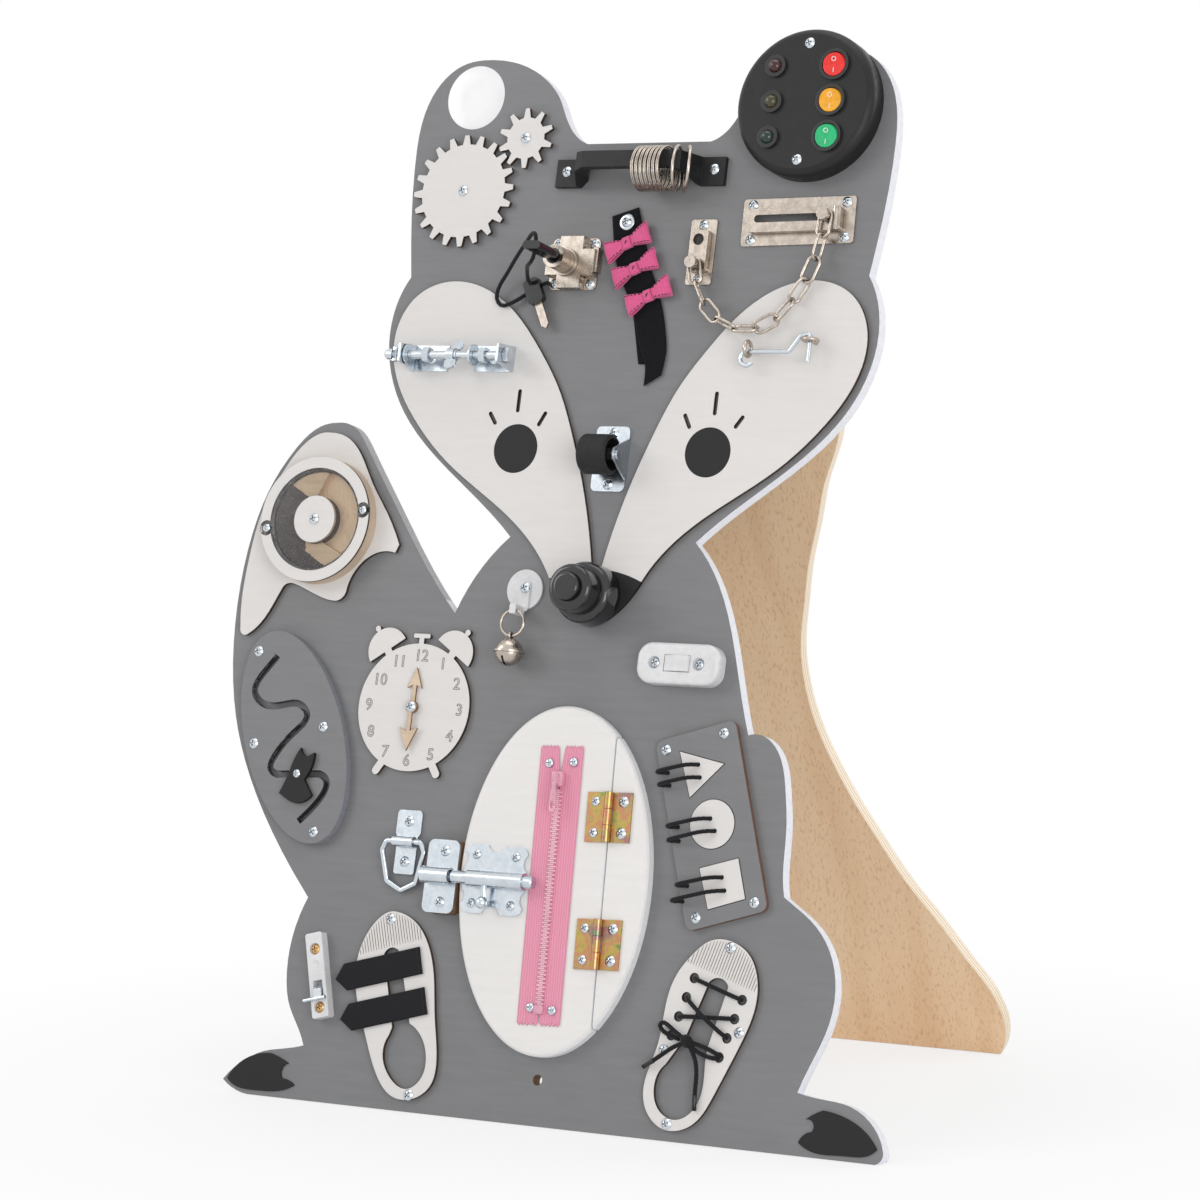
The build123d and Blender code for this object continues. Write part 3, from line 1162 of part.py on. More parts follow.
def make_bolt_rod():
    rod = chamfer(along_u(*ROD_ENDS, BOLT_V, BOLT_AXIS, BOLT_R).edges(), 1)
    stem = Pos(HANDLE_U, BOLT_V - 7.5, BOLT_AXIS + 0.8) * Rot(96, 0, 0) * Cylinder(2, 15)
    return rod + stem + Pos(HANDLE_U, BOLT_V - 17, BOLT_AXIS + 1.8) * Sphere(4.4)


bolt_keeper = make_keeper()
bolt_guide = [make_guide()]
bolt_rod = make_bolt_rod()
bolt_guide += [door_screw(*at, DOOR_TOP + BOLT_SHEET) for at in guide_screws]
fasten(keeper_screws, DOOR_PLY + BOLT_SHEET)

# ---------------------------------------------------------------- zipper
TAPE_TOP = DOOR_TOP + ZIP_TAPE
ZIP_ENDS = (-102.0, 95.0)
ZIP_SLIDER_Y = 70.5
zip_screws = [(-9.2, 82.0), (10.2, 83.0), (-7.2, -89.2), (10.2, -90.6)]


def make_zipper():
    """Two tapes and two rows of teeth, screwed to the door at its corners."""
    length, middle = ZIP_ENDS[1] - ZIP_ENDS[0], sum(ZIP_ENDS) / 2
    tapes = [tile((side * 9.1, middle), 15.6, length, DOOR_TOP, TAPE_TOP) for side in (-1, 1)]
    row = tile((0, middle - 4), 5.6, length - 24, TAPE_TOP, TAPE_TOP + 1.7)
    stop = tile((0, ZIP_ENDS[0] + 13), 7, 4, TAPE_TOP + 1.7, TAPE_TOP + 2.7, corner=1)
    return [drilled(tape, zip_screws, low=2) for tape in tapes] + [row, stop]


def make_zip_slider():
    """Slider body straddling the teeth, with a hanging pull."""
    low, top = TAPE_TOP + FINE, TAPE_TOP + 5.0
    body = tile((0, ZIP_SLIDER_Y), 9, 10.5, low, top, corner=2)
    body -= tile((0, ZIP_SLIDER_Y), 6.4, 30, 0, TAPE_TOP + 2.1)
    body += tile((0, ZIP_SLIDER_Y), 3.4, 8, top, top + 1.6, corner=1)
    pull = tile((0, ZIP_SLIDER_Y - 13), 5.5, 22, top + 1.6, top + 2.9, corner=2)
    return body + pull


zipper_tape = make_zipper()
zipper_slider = make_zip_slider()
door_panel = drilled(door_panel, zip_screws, low=2)
zipper_tape += [door_screw(*at, TAPE_TOP) for at in zip_screws]

door_panel = drilled(DOOR * door_panel, guide_screws, low=2)
door_jamb, zipper_slider = DOOR * door_jamb, DOOR * zipper_slider
door_leaves = [DOOR * piece for piece in door_leaves]
jamb_leaves = [DOOR * piece for piece in jamb_leaves]
zipper_tape = [DOOR * piece for piece in zipper_tape]

# ---------------------------------------------------------------- shape sorter
SORTER_MID = (114.2, 217.0)
SORTER_SIZE = (63.0, 135.6)
SORTER_TURN = 17.6
sorter_screws = [(72.8, 267.1), (116, 281), (153.7, 166.5), (110.5, 153)]
SHAPE_FACES = {
    "triangle": polygon((83.9, 266.5), (119, 259.9), (95.6, 235.1)),
    "circle": Pos(115.2, 217.9) * Circle(17),
    "square": polygon((109.3, 186.9), (138.2, 195.8), (146.8, 168.5), (119.3, 159.3)),
}
SHAPE_CORDS = {
    "triangle": [((99.2, 258.2), (76.2, 251.3)), ((101.5, 249.4), (78.6, 242.5))],
    "circle": [((113.3, 221.6), (88.9, 214.2)), ((117.8, 213.3), (90.8, 204.6))],
    "square": [((127.2, 181.9), (101.3, 174.3)), ((130.3, 173), (99, 163.4))],
}
CORD_HOLE = CORD_R + 0.1


def shape_cord(hole, anchor):
    """A strand from a shape's hole, over and past its anchor hole, and back into it."""
    (u, v), (a, b) = hole, anchor
    third, thirds = (u * 2 + a) / 3, (u + a * 2) / 3
    points = [(u, v, 0.6), (u, v, 6.3)]
    points += [(third, (v * 2 + b) / 3 + 1, 10.4), (thirds, (v + b * 2) / 3 + 1, 11.2)]
    points += [(a - 5.5, b, 10.4), (a - 6.5, b - 0.6, 5.9), (a, b, 6.3), (a, b, 0.6)]
    return cord(points, CORD_R, "shape cord")


shapes, shape_cords, anchors = {}, [], []
for name, face in SHAPE_FACES.items():
    ends = SHAPE_CORDS[name]
    shape = slab(face, FINE, FINE + SHAPE_PLY)
    shapes[name] = drilled(shape, [hole for hole, anchor in ends], radius=CORD_HOLE)
    shape_cords += [shape_cord(*pair) for pair in ends]
    anchors += [anchor for hole, anchor in ends]
shape_panel = tile(SORTER_MID, *SORTER_SIZE, 0, SHAPE_PLY, corner=6, turn=SORTER_TURN)
shape_panel -= [slab(offset(face, 0.5), -1, 9) for face in SHAPE_FACES.values()]
shape_panel = drilled(drilled(shape_panel, anchors, radius=CORD_HOLE), sorter_screws)
fasten(sorter_screws, SHAPE_PLY)

# ---------------------------------------------------------------- shoes
SHOE_LEFT = blob(
    (-130, 140), (-109, 131), (-94, 105), (-87, 68), (-81.5, 40), (-84, 20), (-99, 9), (-115, 10),
    (-130, 25), (-143, 52), (-155, 82), (-157, 103), (-150, 125), (-138, 138),
)
SHOE_RIGHT = blob(
    (132, 140), (143, 138), (153, 132), (163, 111), (163, 96), (155, 70), (140, 36), (124, 12), (103, 8),
    (87, 23), (85, 34), (92, 64), (96, 100), (102, 116), (112, 129), (121, 137),
)
OPENING_LEFT = outline(
    [(-135, 109)],
    [(-130, 114), (-122, 111)],
    [(-107, 62)],
    [(-95, 52), (-90, 38), (-92, 25), (-103, 16), (-119, 24), (-126, 38), (-123, 52)],
    [(-121, 58)],
)
OPENING_RIGHT = outline(
    [(126, 110)],
    [(133.5, 113.5), (141, 108)],
    [(130.5, 66)],
    [(130, 51), (130, 38), (124, 22), (111, 15), (99, 20), (93, 34), (100, 52)],
    [(113, 72)],
)
EYELET_R = 3.6
eyelets_left = [(114.4, 112), (110, 98.5), (105.8, 85), (101.8, 71.8)]
eyelets_right = [(152.6, 100), (148.4, 86.8), (144.3, 73.4), (140, 60)]
shoe_screws_left = [(-133.2, 134.3), (-100.8, 12)]
shoe_screws_right = [(139.5, 134.6), (153, 77.8), (97.2, 61.5), (105.7, 11.8)]


def make_shoes():
    left = slab(SHOE_LEFT, 0, OVERLAY) - slab(OPENING_LEFT, -1, OVERLAY + 1)
    right = slab(SHOE_RIGHT, 0, OVERLAY) - slab(OPENING_RIGHT, -1, OVERLAY + 1)
    right = drilled(right, eyelets_left + eyelets_right, radius=EYELET_R)
    return [drilled(left, shoe_screws_left), drilled(right, shoe_screws_right)]


shoes = make_shoes()
fasten(shoe_screws_left + shoe_screws_right, OVERLAY)


def strap(tip, end, width):
    """Webbing flap with a pointed tip, sewn down along its far end."""
    heading = Vector(end[0] - tip[0], end[1] - tip[1], 0)
    angle = degrees(acos(heading.X / heading.length))
    length, half = heading.length, width / 2
    flat = polygon((0, 0), (8, -half), (length, -half), (length, half), (8, half))
    flap = slab(flat, OVERLAY + FINE, OVERLAY + FINE + STRAP_THICK)
    return Pos(tip[0], tip[1], 0) * Rot(0, 0, angle) * flap


strap_upper = strap((-171.7, 88), (-103.2, 107), STRAP)
strap_lower = strap((-163.7, 60), (-94.8, 79), STRAP)

# ---------------------------------------------------------------- lace
KNOT = Vector(116.5, 68.5, 7.4)
KNOT_R = 4.6


def crossing(a, b, crown):
    """A strand between two eyelets; CROWN is the height of its middle."""
    start, end = Vector(*a, 0), Vector(*b, 0)
    reach = end - start
    over = reach.normalized() * 3.0
    top = OVERLAY + LACE_R + 0.6
    shoulder = (top + crown) / 2 + 0.3
    places = [(start, 2.0), (start + over, top), (start + reach * 0.3, shoulder)]
    places += [(start + reach * 0.5, crown)]
    places += [(start + reach * 0.7, shoulder), (end - over, top), (end, 2.0)]
    return cord([(p.X, p.Y, w) for p, w in places], LACE_R, "lace crossing")


def knot_strand(*points):
    return cord([(KNOT.X, KNOT.Y, KNOT.Z), *points], LACE_R, "lace from the knot")


def make_lace():
    """Three crossings, and a bow knot with one loop, two tails and a pair into an eyelet."""
    crossings = [crossing(eyelets_left[0], eyelets_right[0], 6.0)]
    crossings.append(crossing(eyelets_left[1], eyelets_right[2], 8.6))
    crossings.append(crossing(eyelets_left[2], eyelets_right[1], 5.0))
    bow = Pos(*KNOT) * Rot(0, 0, -35) * scale(Sphere(KNOT_R), (1.15, 0.85, 0.85))
    upper_loop = [(106, 75, 8.2), (97.5, 80.5, 7.6), (93.6, 78.2, 6.9)]
    bow += knot_strand(*upper_loop, (96.5, 73.8, 6.4), (104.5, 70.8, 6.2))
    bow += knot_strand((110, 69.5, 6.0), (103, 70.6, 6.2))
    bow += knot_strand((106, 63.5, 8.0), (95, 55, 7.6), (84.3, 48.3, 5.6))
    bow += knot_strand((123.5, 60, 7.4), (126.2, 48, 6.0), (125.8, 34, 5.4), (126.7, 22.4, 5.0))
    bow += knot_strand((124, 67.2, 6.6), (132.5, 65, 6.2), (139, 62, 5.2), (140.6, 61, 2.0))
    bow += knot_strand((123, 62.8, 6.6), (131, 59.8, 6.2), (137.4, 58.8, 5.2), (139.4, 59.2, 2.0))
    return crossings + [bow]


shoe_lace = make_lace()

# ---------------------------------------------------------------- catch
CATCH = Pos(-186.4, 89.5, 0) * Rot(0, 0, 14.3)
CATCH_PIVOT = (-9.0, 4.4)
catch_local_screws = [(0.4, 19.0), (0.0, -23.2)]


def make_catch():
    body = fillet(tile((0, 0), 14, 62, 0, 8, corner=2).edges().group_by(Axis.Z)[-1], 1)
    body -= tile((0.4, -9.5), 7.6, 11.4, 1.2, 9)
    body -= Pos(0, 7.8, 10.5) * Sphere(4)
    body -= along_u(-5.4, 6.2, *CATCH_PIVOT, 1.0 + SHAFT_FIT)
    body -= [peg(at, SCREW_HEAD_R + 0.4, 6, 9) for at in catch_local_screws]
    return CATCH * drilled(body, catch_local_screws)


def make_catch_lever():
    """Tongue on a pin, with a wire bar across the case."""
    tongue = polygon((-11, 2.6), (-7, 2.6), (-7, 6.5), (-10.5, 10.2), (-18, 10.2), (-18, 8.5), (-11.4, 8.5))
    lever = in_side_view(tongue, 6.6, 0.4)
    lever += along_u(-5.2, 6.0, *CATCH_PIVOT, 1.0) + along_u(-11.6, 6.6, -17, 9.6, 1.3)
    return CATCH * lever


catch_body = make_catch()
catch_lever = make_catch_lever()
for at in catch_local_screws:
    place = (CATCH * Pos(*at, 0)).position
    fasten([(place.X, place.Y)], 6)

# ---------------------------------------------------------------- rear leg
STAND = Location(
    Plane(
        origin=leaned(0, STAND_HINGE_V, -PANEL - REAR_PIN_OFFSET),
        x_dir=(1, 0, 0),
        z_dir=(0, -cos(radians(STAND_ANGLE)), -sin(radians(STAND_ANGLE))),
    )
)
LEG_FOOT = -690.0
LEG_HALF = [(-645, 179), (-625, 170), (-612, 161), (-580, 141)]
LEG_HALF += [(-548, 119), (-515, 101), (-483, 85), (-451, 72)]
LEG_HALF += [(-418, 62), (-385, 58), (-352, 60), (-320, 68), (-287, 77), (-255, 89), (-223, 100), (-192, 115)]
LEG_HALF += [(-145, 124), (-60, 124), (-15, 110)]
REAR_LEAF = (30.0, 20.0)
leaf_low = -PANEL - HINGE_SHEET
back_screws = [(side * REAR_HINGE_U + step, STAND_HINGE_V - 14) for side in (-1, 1) for step in (-9, 9)]


def make_leg():
    """Waisted plywood leg, cut level at the floor and bevelled behind the panel."""
    right = [(half, y) for y, half in LEG_HALF]
    left = [(-half, y) for y, half in reversed(LEG_HALF)]
    waist = [right[1:], [(100, 8)], [(-100, 8)], [left[0]], left[1:]]
    face = outline([(172, LEG_FOOT)], [(182, -665), right[0]], *waist, [(-182, -665), (-172, LEG_FOOT)])
    leg = slab(face, -REAR_PIN_OFFSET - STAND_PLY, -REAR_PIN_OFFSET)
    leg = above_floor(STAND * leg)
    return leg - LEANED * Pos(0, STAND_HINGE_V, 50 - PANEL - FINE) * Box(600, 200, 100)


def rear_leaf(side, low, spans):
    """Hinge leaf below the pin, with knuckles at SPANS of its width."""
    width, drop = REAR_LEAF
    plate = Pos(side, -drop / 2 - HINGE_KNUCKLE_R / 2, low + HINGE_SHEET / 2)
    plate = plate * Box(width, drop - HINGE_KNUCKLE_R, HINGE_SHEET)
    reach = HINGE_KNUCKLE_R + FINE
    for start, end in spans:
        middle, length = side + (start + end) / 2 * width, (end - start) * width
        plate += along_u(middle - length / 2, middle + length / 2, 0, 0, HINGE_KNUCKLE_R)
        plate += Pos(middle, -reach / 2 - 0.7, low + HINGE_SHEET / 2) * Box(length, reach - 1.4, HINGE_SHEET)
    return plate


def back_screw(place):
    return place * Rot(180, 0, 0) * pan_screw(4.5, 3.4, 1.6)


LEAF_PLACE = LEANED * Pos(0, STAND_HINGE_V, -PANEL - REAR_PIN_OFFSET)
fixed_rear, moving_rear = [], []
for side in (-REAR_HINGE_U, REAR_HINGE_U):
    high_leaf = rear_leaf(side, REAR_PIN_OFFSET - HINGE_SHEET, [(-0.5, -0.18), (0.18, 0.5)])
    high_leaf += along_u(side - 15, side + 15, 0, 0, HINGE_PIN_R)
    fixed_rear.append(LEAF_PLACE * high_leaf)
    low_leaf = rear_leaf(side, -REAR_PIN_OFFSET, [(-0.17, 0.17)])
    low_leaf -= along_u(side - 20, side + 20, 0, 0, HINGE_PIN_R + SHAFT_FIT)
    moving_rear.append(STAND * low_leaf)
stand_panel = make_leg()
for step in (-9, 9):
    for index, side in enumerate((-REAR_HINGE_U, REAR_HINGE_U)):
        bore = peg((side + step, STAND_HINGE_V - 14), SCREW_R + SHAFT_FIT, -PANEL - 9, -PANEL + 3.5)
        fixed_rear[index] -= LEANED * bore
        fixed_rear.append(back_screw(LEANED * Pos(side + step, STAND_HINGE_V - 14, leaf_low)))
        hole = STAND * Pos(side + step, -14, -REAR_PIN_OFFSET) * Cylinder(SCREW_R + SHAFT_FIT, 16)
        moving_rear[index] -= hole
        stand_panel -= hole
        seat = STAND * Pos(side + step, -14, -REAR_PIN_OFFSET + HINGE_SHEET)
        moving_rear.append(seat * pan_screw(6.5, 3.4, 1.6))

# ---------------------------------------------------------------- main panel
main_panel = drilled(make_panel(), DRILLED)
main_panel -= [peg(at, SCREW_R + SHAFT_FIT, -PANEL - 1, -PANEL + 3.5) for at in back_screws]
main_panel -= peg(FLOOR_HOLE, FLOOR_HOLE_R, -PANEL - 1, 1)
main_board = above_floor(LEANED * main_panel)

# ---------------------------------------------------------------- files
IN_PLACE = Location()
write("main_board", main_board, place=IN_PLACE)
write("black_patches", *eyes, nose_patch, *claws)
write("white_masks", *masks, tail_badge)
write("clock_face", clock_face)
write("shoe_panels", *shoes)
write("maze_panel", maze_panel)
write("shape_panel", shape_panel)
write("board_screws", *board_screws, *gear_washers)
write("pull_handle", pull_handle, *end_rings)
write("split_rings", *sliding_rings)
write("light_box", light_box, *bezels, *lenses, battery_holder)
for color, piece in zip(("red", "amber", "green"), rockers):
    write(f"rocker_{color}", piece)
write("chain_plates", *chain_plates, *screw_eyes)
write("chain_knob", chain_knob)
write("chain_links", *chain_links)
write("gate_hook", gate_hook)
write("bow_ribbon", *ribbon, cup_washer)
write("lock_body", lock_body)
write("lock_key", lock_key)
write("key_cord", *key_cords)
write("spare_key", spare_key)
write("bolt_rack", *bolt_rack)
write("wing_nut", wing_nut)
write("caster_bracket", caster_bracket)
write("caster_wheel", caster_wheel)
write("knob_base", knob_base)
write("nose_button", nose_button)
write("bell_mount", *bell_mount)
write("bell", *bell)
write("lamp_switch_body", lamp_body)
write("lamp_rocker", lamp_rocker)
write("sand_wheel", *sand_wheel)
write("maze_slider", maze_slider, slider_screw)
write("minute_hand", minute_hand)
write("hour_hand", hour_hand)
write("dring_plate", dring_plate)
write("d_ring", d_ring)
write("bolt_keeper", *bolt_keeper)
write("bolt_guide", *bolt_guide)
write("bolt_rod", bolt_rod)
write("door_panel", door_panel)
write("door_segment", door_jamb)
write("fixed_leaves", *[LEANED * piece for piece in jamb_leaves], *fixed_rear, place=IN_PLACE)
write("door_leaves", *door_leaves)
write("zipper_tape", *zipper_tape)
write("zipper_slider", zipper_slider)
for name, piece in shapes.items():
    write(f"shape_{name}", piece)
write("shape_cords", *shape_cords)
write("strap_upper", strap_upper)
write("strap_lower", strap_lower)
write("shoe_lace", *shoe_lace)
write("catch_plate", catch_body)
write("catch_lever", catch_lever)
write("stand_panel", stand_panel, *moving_rear, place=IN_PLACE)
write("gear_big", gear_big)
write("gear_small", gear_small)
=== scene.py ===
import math

import bmesh
import bpy
import numpy as np
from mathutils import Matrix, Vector


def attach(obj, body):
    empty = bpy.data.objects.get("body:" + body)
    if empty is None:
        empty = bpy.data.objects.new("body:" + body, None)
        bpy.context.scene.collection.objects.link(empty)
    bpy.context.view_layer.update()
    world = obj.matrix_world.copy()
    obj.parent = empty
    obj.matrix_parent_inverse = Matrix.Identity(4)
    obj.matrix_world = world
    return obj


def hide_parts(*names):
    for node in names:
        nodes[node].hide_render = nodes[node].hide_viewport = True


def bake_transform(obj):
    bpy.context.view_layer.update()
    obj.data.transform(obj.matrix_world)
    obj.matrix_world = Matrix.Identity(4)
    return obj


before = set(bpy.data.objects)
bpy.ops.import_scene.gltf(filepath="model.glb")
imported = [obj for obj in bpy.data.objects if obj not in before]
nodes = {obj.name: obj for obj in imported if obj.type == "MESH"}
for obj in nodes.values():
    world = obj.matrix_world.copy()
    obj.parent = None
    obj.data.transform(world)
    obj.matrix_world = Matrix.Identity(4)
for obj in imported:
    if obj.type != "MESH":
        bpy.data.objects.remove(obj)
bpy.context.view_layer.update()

# A wooden busy board that leans back on its rear leg. Places on it are given with the
# panel's own directions: u to the right, v up the panel and w out of its front face.
LEAN = math.radians(14)
PANEL_AXES = np.array([
    (1, 0, 0),
    (0, math.sin(LEAN), math.cos(LEAN)),
    (0, -math.cos(LEAN), math.sin(LEAN)),
])
SOLE = np.array((0, -0.0051531, 0))
OUTWARD = tuple(PANEL_AXES[2])


def leaned(points):
    """Panel places (u, v, w) in millimetres, turned with the panel's axes into metres."""
    return np.asarray(points, dtype=float) @ PANEL_AXES / 1000 + SOLE


# ------------------------------------------------------------------ camera, light and floor
# A long lens from the right at half height, over a white floor that runs into a white
# surround, under large soft lamps.
scene = bpy.context.scene
scene.view_settings.view_transform = "Standard"
camera = bpy.data.objects.new("camera", bpy.data.cameras.new("camera"))
scene.collection.objects.link(camera)
scene.camera = camera
camera.location = (1.4173, -2.4386, 0.5765)
camera.rotation_euler = (math.radians(90 - 4.44), math.radians(0.08), math.radians(29.3))
camera.data.lens = 123.5
camera.data.sensor_width = 36
camera.data.shift_x, camera.data.shift_y = 0.0034, 0.0093
camera.data.clip_end = 60

for name, place, aim, size, watts in (
    ("key", (-2.7, -2.0, 2.1), (0, 0, 0.40), 1.6, 30),
    ("fill", (2.3, -1.9, 0.6), (0, 0.05, 0.3), 1.6, 32),
    ("top", (0.1, 0.1, 3.1), (0, 0.1, 0.3), 2.0, 16),
    ("back", (1.8, 1.9, 1.3), (0, 0.2, 0.4), 1.4, 12),
):
    lamp = bpy.data.objects.new(name, bpy.data.lights.new(name, "AREA"))
    lamp.data.size, lamp.data.energy = size, watts
    lamp.location = place
    lamp.rotation_euler = (Vector(aim) - Vector(place)).to_track_quat("-Z", "Y").to_euler()
    scene.collection.objects.link(lamp)


def fill(node, inputs):
    """Sets a node's sockets from (socket, value) pairs, where an output is linked."""
    for socket, value in inputs:
        if isinstance(value, bpy.types.NodeSocket):
            node.id_data.links.new(value, node.inputs[socket])
        else:
            node.inputs[socket].default_value = value


def add(tree, kind, inputs=(), **settings):
    """A shader node with its settings and filled sockets."""
    node = tree.nodes.new(kind)
    for key, value in settings.items():
        setattr(node, key, value)
    fill(node, inputs)
    return node


def math_of(tree, operation, first, second=0.0):
    """The result of one operation on two values."""
    return add(tree, "ShaderNodeMath", [(0, first), (1, second)], operation=operation).outputs[0]


def measured(tree, vector, direction, operation="DOT_PRODUCT"):
    """A vector measured along a direction, or by another operation of two vectors."""
    node = add(tree, "ShaderNodeVectorMath", [(0, vector), (1, direction)], operation=operation)
    return node.outputs["Value"]


def seen_by(tree, *kinds):
    """1 for the rays of these kinds, and 0 for the rays that only carry light."""
    rays = add(tree, "ShaderNodeLightPath")
    seen = rays.outputs[kinds[0]]
    for kind in kinds[1:]:
        seen = math_of(tree, "MAXIMUM", seen, rays.outputs[kind])
    return seen


world = bpy.data.worlds.new("studio")
scene.world = world
world.use_nodes = True
tree = world.node_tree
seen = seen_by(tree, "Is Camera Ray", "Is Glossy Ray", "Is Transmission Ray")
level = add(tree, "ShaderNodeMapRange", [("Value", seen), ("To Min", 0.50), ("To Max", 1.0)])
fill(tree.nodes["Background"], [("Color", (1, 1, 1, 1)), ("Strength", level.outputs["Result"])])


def new_material(name):
    """A material with its node tree and its shader node."""
    material = bpy.data.materials.new(name)
    material.use_nodes = True
    return material, material.node_tree, material.node_tree.nodes["Principled BSDF"]


floor_paint, tree, shader = new_material("floor")
fill(shader, [("Base Color", (0.95, 0.95, 0.955, 1)), ("Roughness", 0.7), ("Specular IOR Level", 0.2)])
glow = add(tree, "ShaderNodeEmission", [("Color", (1, 1, 1, 1)), ("Strength", 1.0)])
where = add(tree, "ShaderNodeTexCoord").outputs["Object"]
far = measured(tree, where, (0.0, 0.15, 0.0), "DISTANCE")
fade = add(tree, "ShaderNodeMapRange", [("Value", far), ("From Min", 0.25), ("From Max", 0.70),
                                        ("To Min", 0.72), ("To Max", 1.0)])
glowing = math_of(tree, "MULTIPLY", seen_by(tree, "Is Camera Ray", "Is Glossy Ray"), fade.outputs["Result"])
lit_floor = add(tree, "ShaderNodeMixShader", [(0, glowing), (1, shader.outputs[0]), (2, glow.outputs[0])])
fill(tree.nodes["Material Output"], [("Surface", lit_floor.outputs[0])])
floor_mesh = bpy.data.meshes.new("floor")
FLOOR_HALF, FLOOR_DROP = 20, -0.0006
corners = [(x * FLOOR_HALF, y * FLOOR_HALF, FLOOR_DROP) for x, y in ((-1, -1), (1, -1), (1, 1), (-1, 1))]
floor_mesh.from_pydata(corners, [], [(0, 1, 2, 3)])
floor_mesh.materials.append(floor_paint)
floor = bpy.data.objects.new("floor", floor_mesh)
scene.collection.objects.link(floor)

# ------------------------------------------------------------------ cords and laces
# Black cotton cord of three twisted strands on the keys and the sorter's shapes, and a
# round woven lace with shiny moulded tips. All are knotted or tucked in behind the wood.


def ramp(tree, value, *stops):
    """Colours at places along a value from 0 to 1."""
    node = add(tree, "ShaderNodeValToRGB", [("Fac", value)])
    while len(node.color_ramp.elements) < len(stops):
        node.color_ramp.elements.new(0.5)
    for element, (place, color) in zip(node.color_ramp.elements, stops):
        element.position = place
        element.color = (*color, 1)
    return node.outputs["Color"]


def spot(tree, output="Object", scale=(1, 1, 1), turn=(0, 0, 0)):
    """Object or UV coordinates in metres, scaled and turned."""
    source = add(tree, "ShaderNodeTexCoord")
    return add(tree, "ShaderNodeMapping", [("Vector", source.outputs[output]), ("Scale", scale),
                                           ("Rotation", turn)]).outputs["Vector"]


def cloud(tree, vector, scale, detail=3.0, roughness=0.55):
    """Noise from 0 to 1 with SCALE lumps per metre."""
    return add(tree, "ShaderNodeTexNoise", [("Vector", vector), ("Scale", scale), ("Detail", detail),
                                            ("Roughness", roughness)]).outputs["Fac"]


def bump(tree, shader, height, distance, strength=1.0, rounding=0.0):
    """Bump from a height, over corners that ROUNDING metres soften."""
    node = add(tree, "ShaderNodeBump", [("Height", height), ("Distance", distance), ("Strength", strength)])
    if rounding:
        soft = add(tree, "ShaderNodeBevel", [("Radius", rounding)], samples=6)
        tree.links.new(soft.outputs["Normal"], node.inputs["Normal"])
    tree.links.new(node.outputs["Normal"], shader.inputs["Normal"])


def mottled(name, scale, dark, light, roughness, relief=(), *levels, detail=3.0, ragged=0.55):
    """Two colours clouded together, then a bump's distance and strength, and other shader sockets."""
    material, tree, shader = new_material(name)
    pattern = cloud(tree, spot(tree), scale, detail, ragged)
    tone = ramp(tree, pattern, (0.3, dark), (0.7, light))
    fill(shader, [("Base Color", tone), ("Roughness", roughness), *levels])
    if relief:
        bump(tree, shader, pattern, *relief)
    return material


black_yarn = mottled("black_yarn", 1900.0, (0.006, 0.006, 0.007), (0.022, 0.022, 0.024), 0.82,
                     (0.00012, 0.7), ("Specular IOR Level", 0.15), ("Sheen Weight", 0.1))


def wrapped(grid, around, onward, ends):
    """Faces over a grid of points: quads between neighbouring rows and columns, joined round
    where a direction closes on itself, with the first and last rows capped if asked."""
    rows, columns = grid.shape[:2]
    index = np.arange(rows * columns).reshape(rows, columns)
    index = np.hstack([index, index[:, :1]]) if around else index
    index = np.vstack([index, index[:1]]) if onward else index
    quads = np.stack([index[:-1, :-1], index[:-1, 1:], index[1:, 1:], index[1:, :-1]], -1).reshape(-1, 4)
    caps = [index[0, :columns][::-1].tolist(), index[-1, :columns].tolist()] if ends else []
    return quads.tolist() + caps


def facing_out(mesh):
    """Turns the faces of a closed mesh outwards."""
    shape = bmesh.new()
    shape.from_mesh(mesh)
    bmesh.ops.recalc_face_normals(shape, faces=shape.faces)
    shape.to_mesh(mesh)
    shape.free()


def placed(name, mesh, body, material=None):
    """A mesh as a piece with its material. It rides on a body, or on none if two are to share it."""
    if material:
        mesh.materials.clear()
        mesh.materials.append(material)
    piece = bpy.data.objects.new(name, mesh)
    scene.collection.objects.link(piece)
    if body:
        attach(piece, body)
    return piece


def surface(name, grid, material, body, around=False, onward=False, ends=False, size=(1, 1)):
    """A piece through a grid of points in metres; its UV map runs over SIZE metres."""
    mesh = bpy.data.meshes.new(name)
    mesh.from_pydata(grid.reshape(-1, 3).tolist(), [], wrapped(grid, around, onward, ends))
    rows, columns = grid.shape[0] + onward, grid.shape[1] + around
    down, across = np.meshgrid(np.linspace(0, size[0], rows), np.linspace(0, size[1], columns),
                               indexing="ij")
    corners = np.stack([down, across], -1)
    corners = np.stack([corners[:-1, :-1], corners[:-1, 1:], corners[1:, 1:], corners[1:, :-1]], -2)
    flat = np.zeros(len(mesh.loops) * 2)
    flat[:corners.size] = corners.ravel()
    mesh.uv_layers.new(name="UVMap").data.foreach_set("uv", flat)
    if ends or (around and onward):
        facing_out(mesh)
    mesh.polygons.foreach_set("use_smooth", np.ones(len(mesh.polygons), dtype=bool))
    return placed(name, mesh, body, material)


def round_angles(count):
    """COUNT angles evenly round a circle."""
    return np.linspace(0, 2 * math.pi, count, endpoint=False)


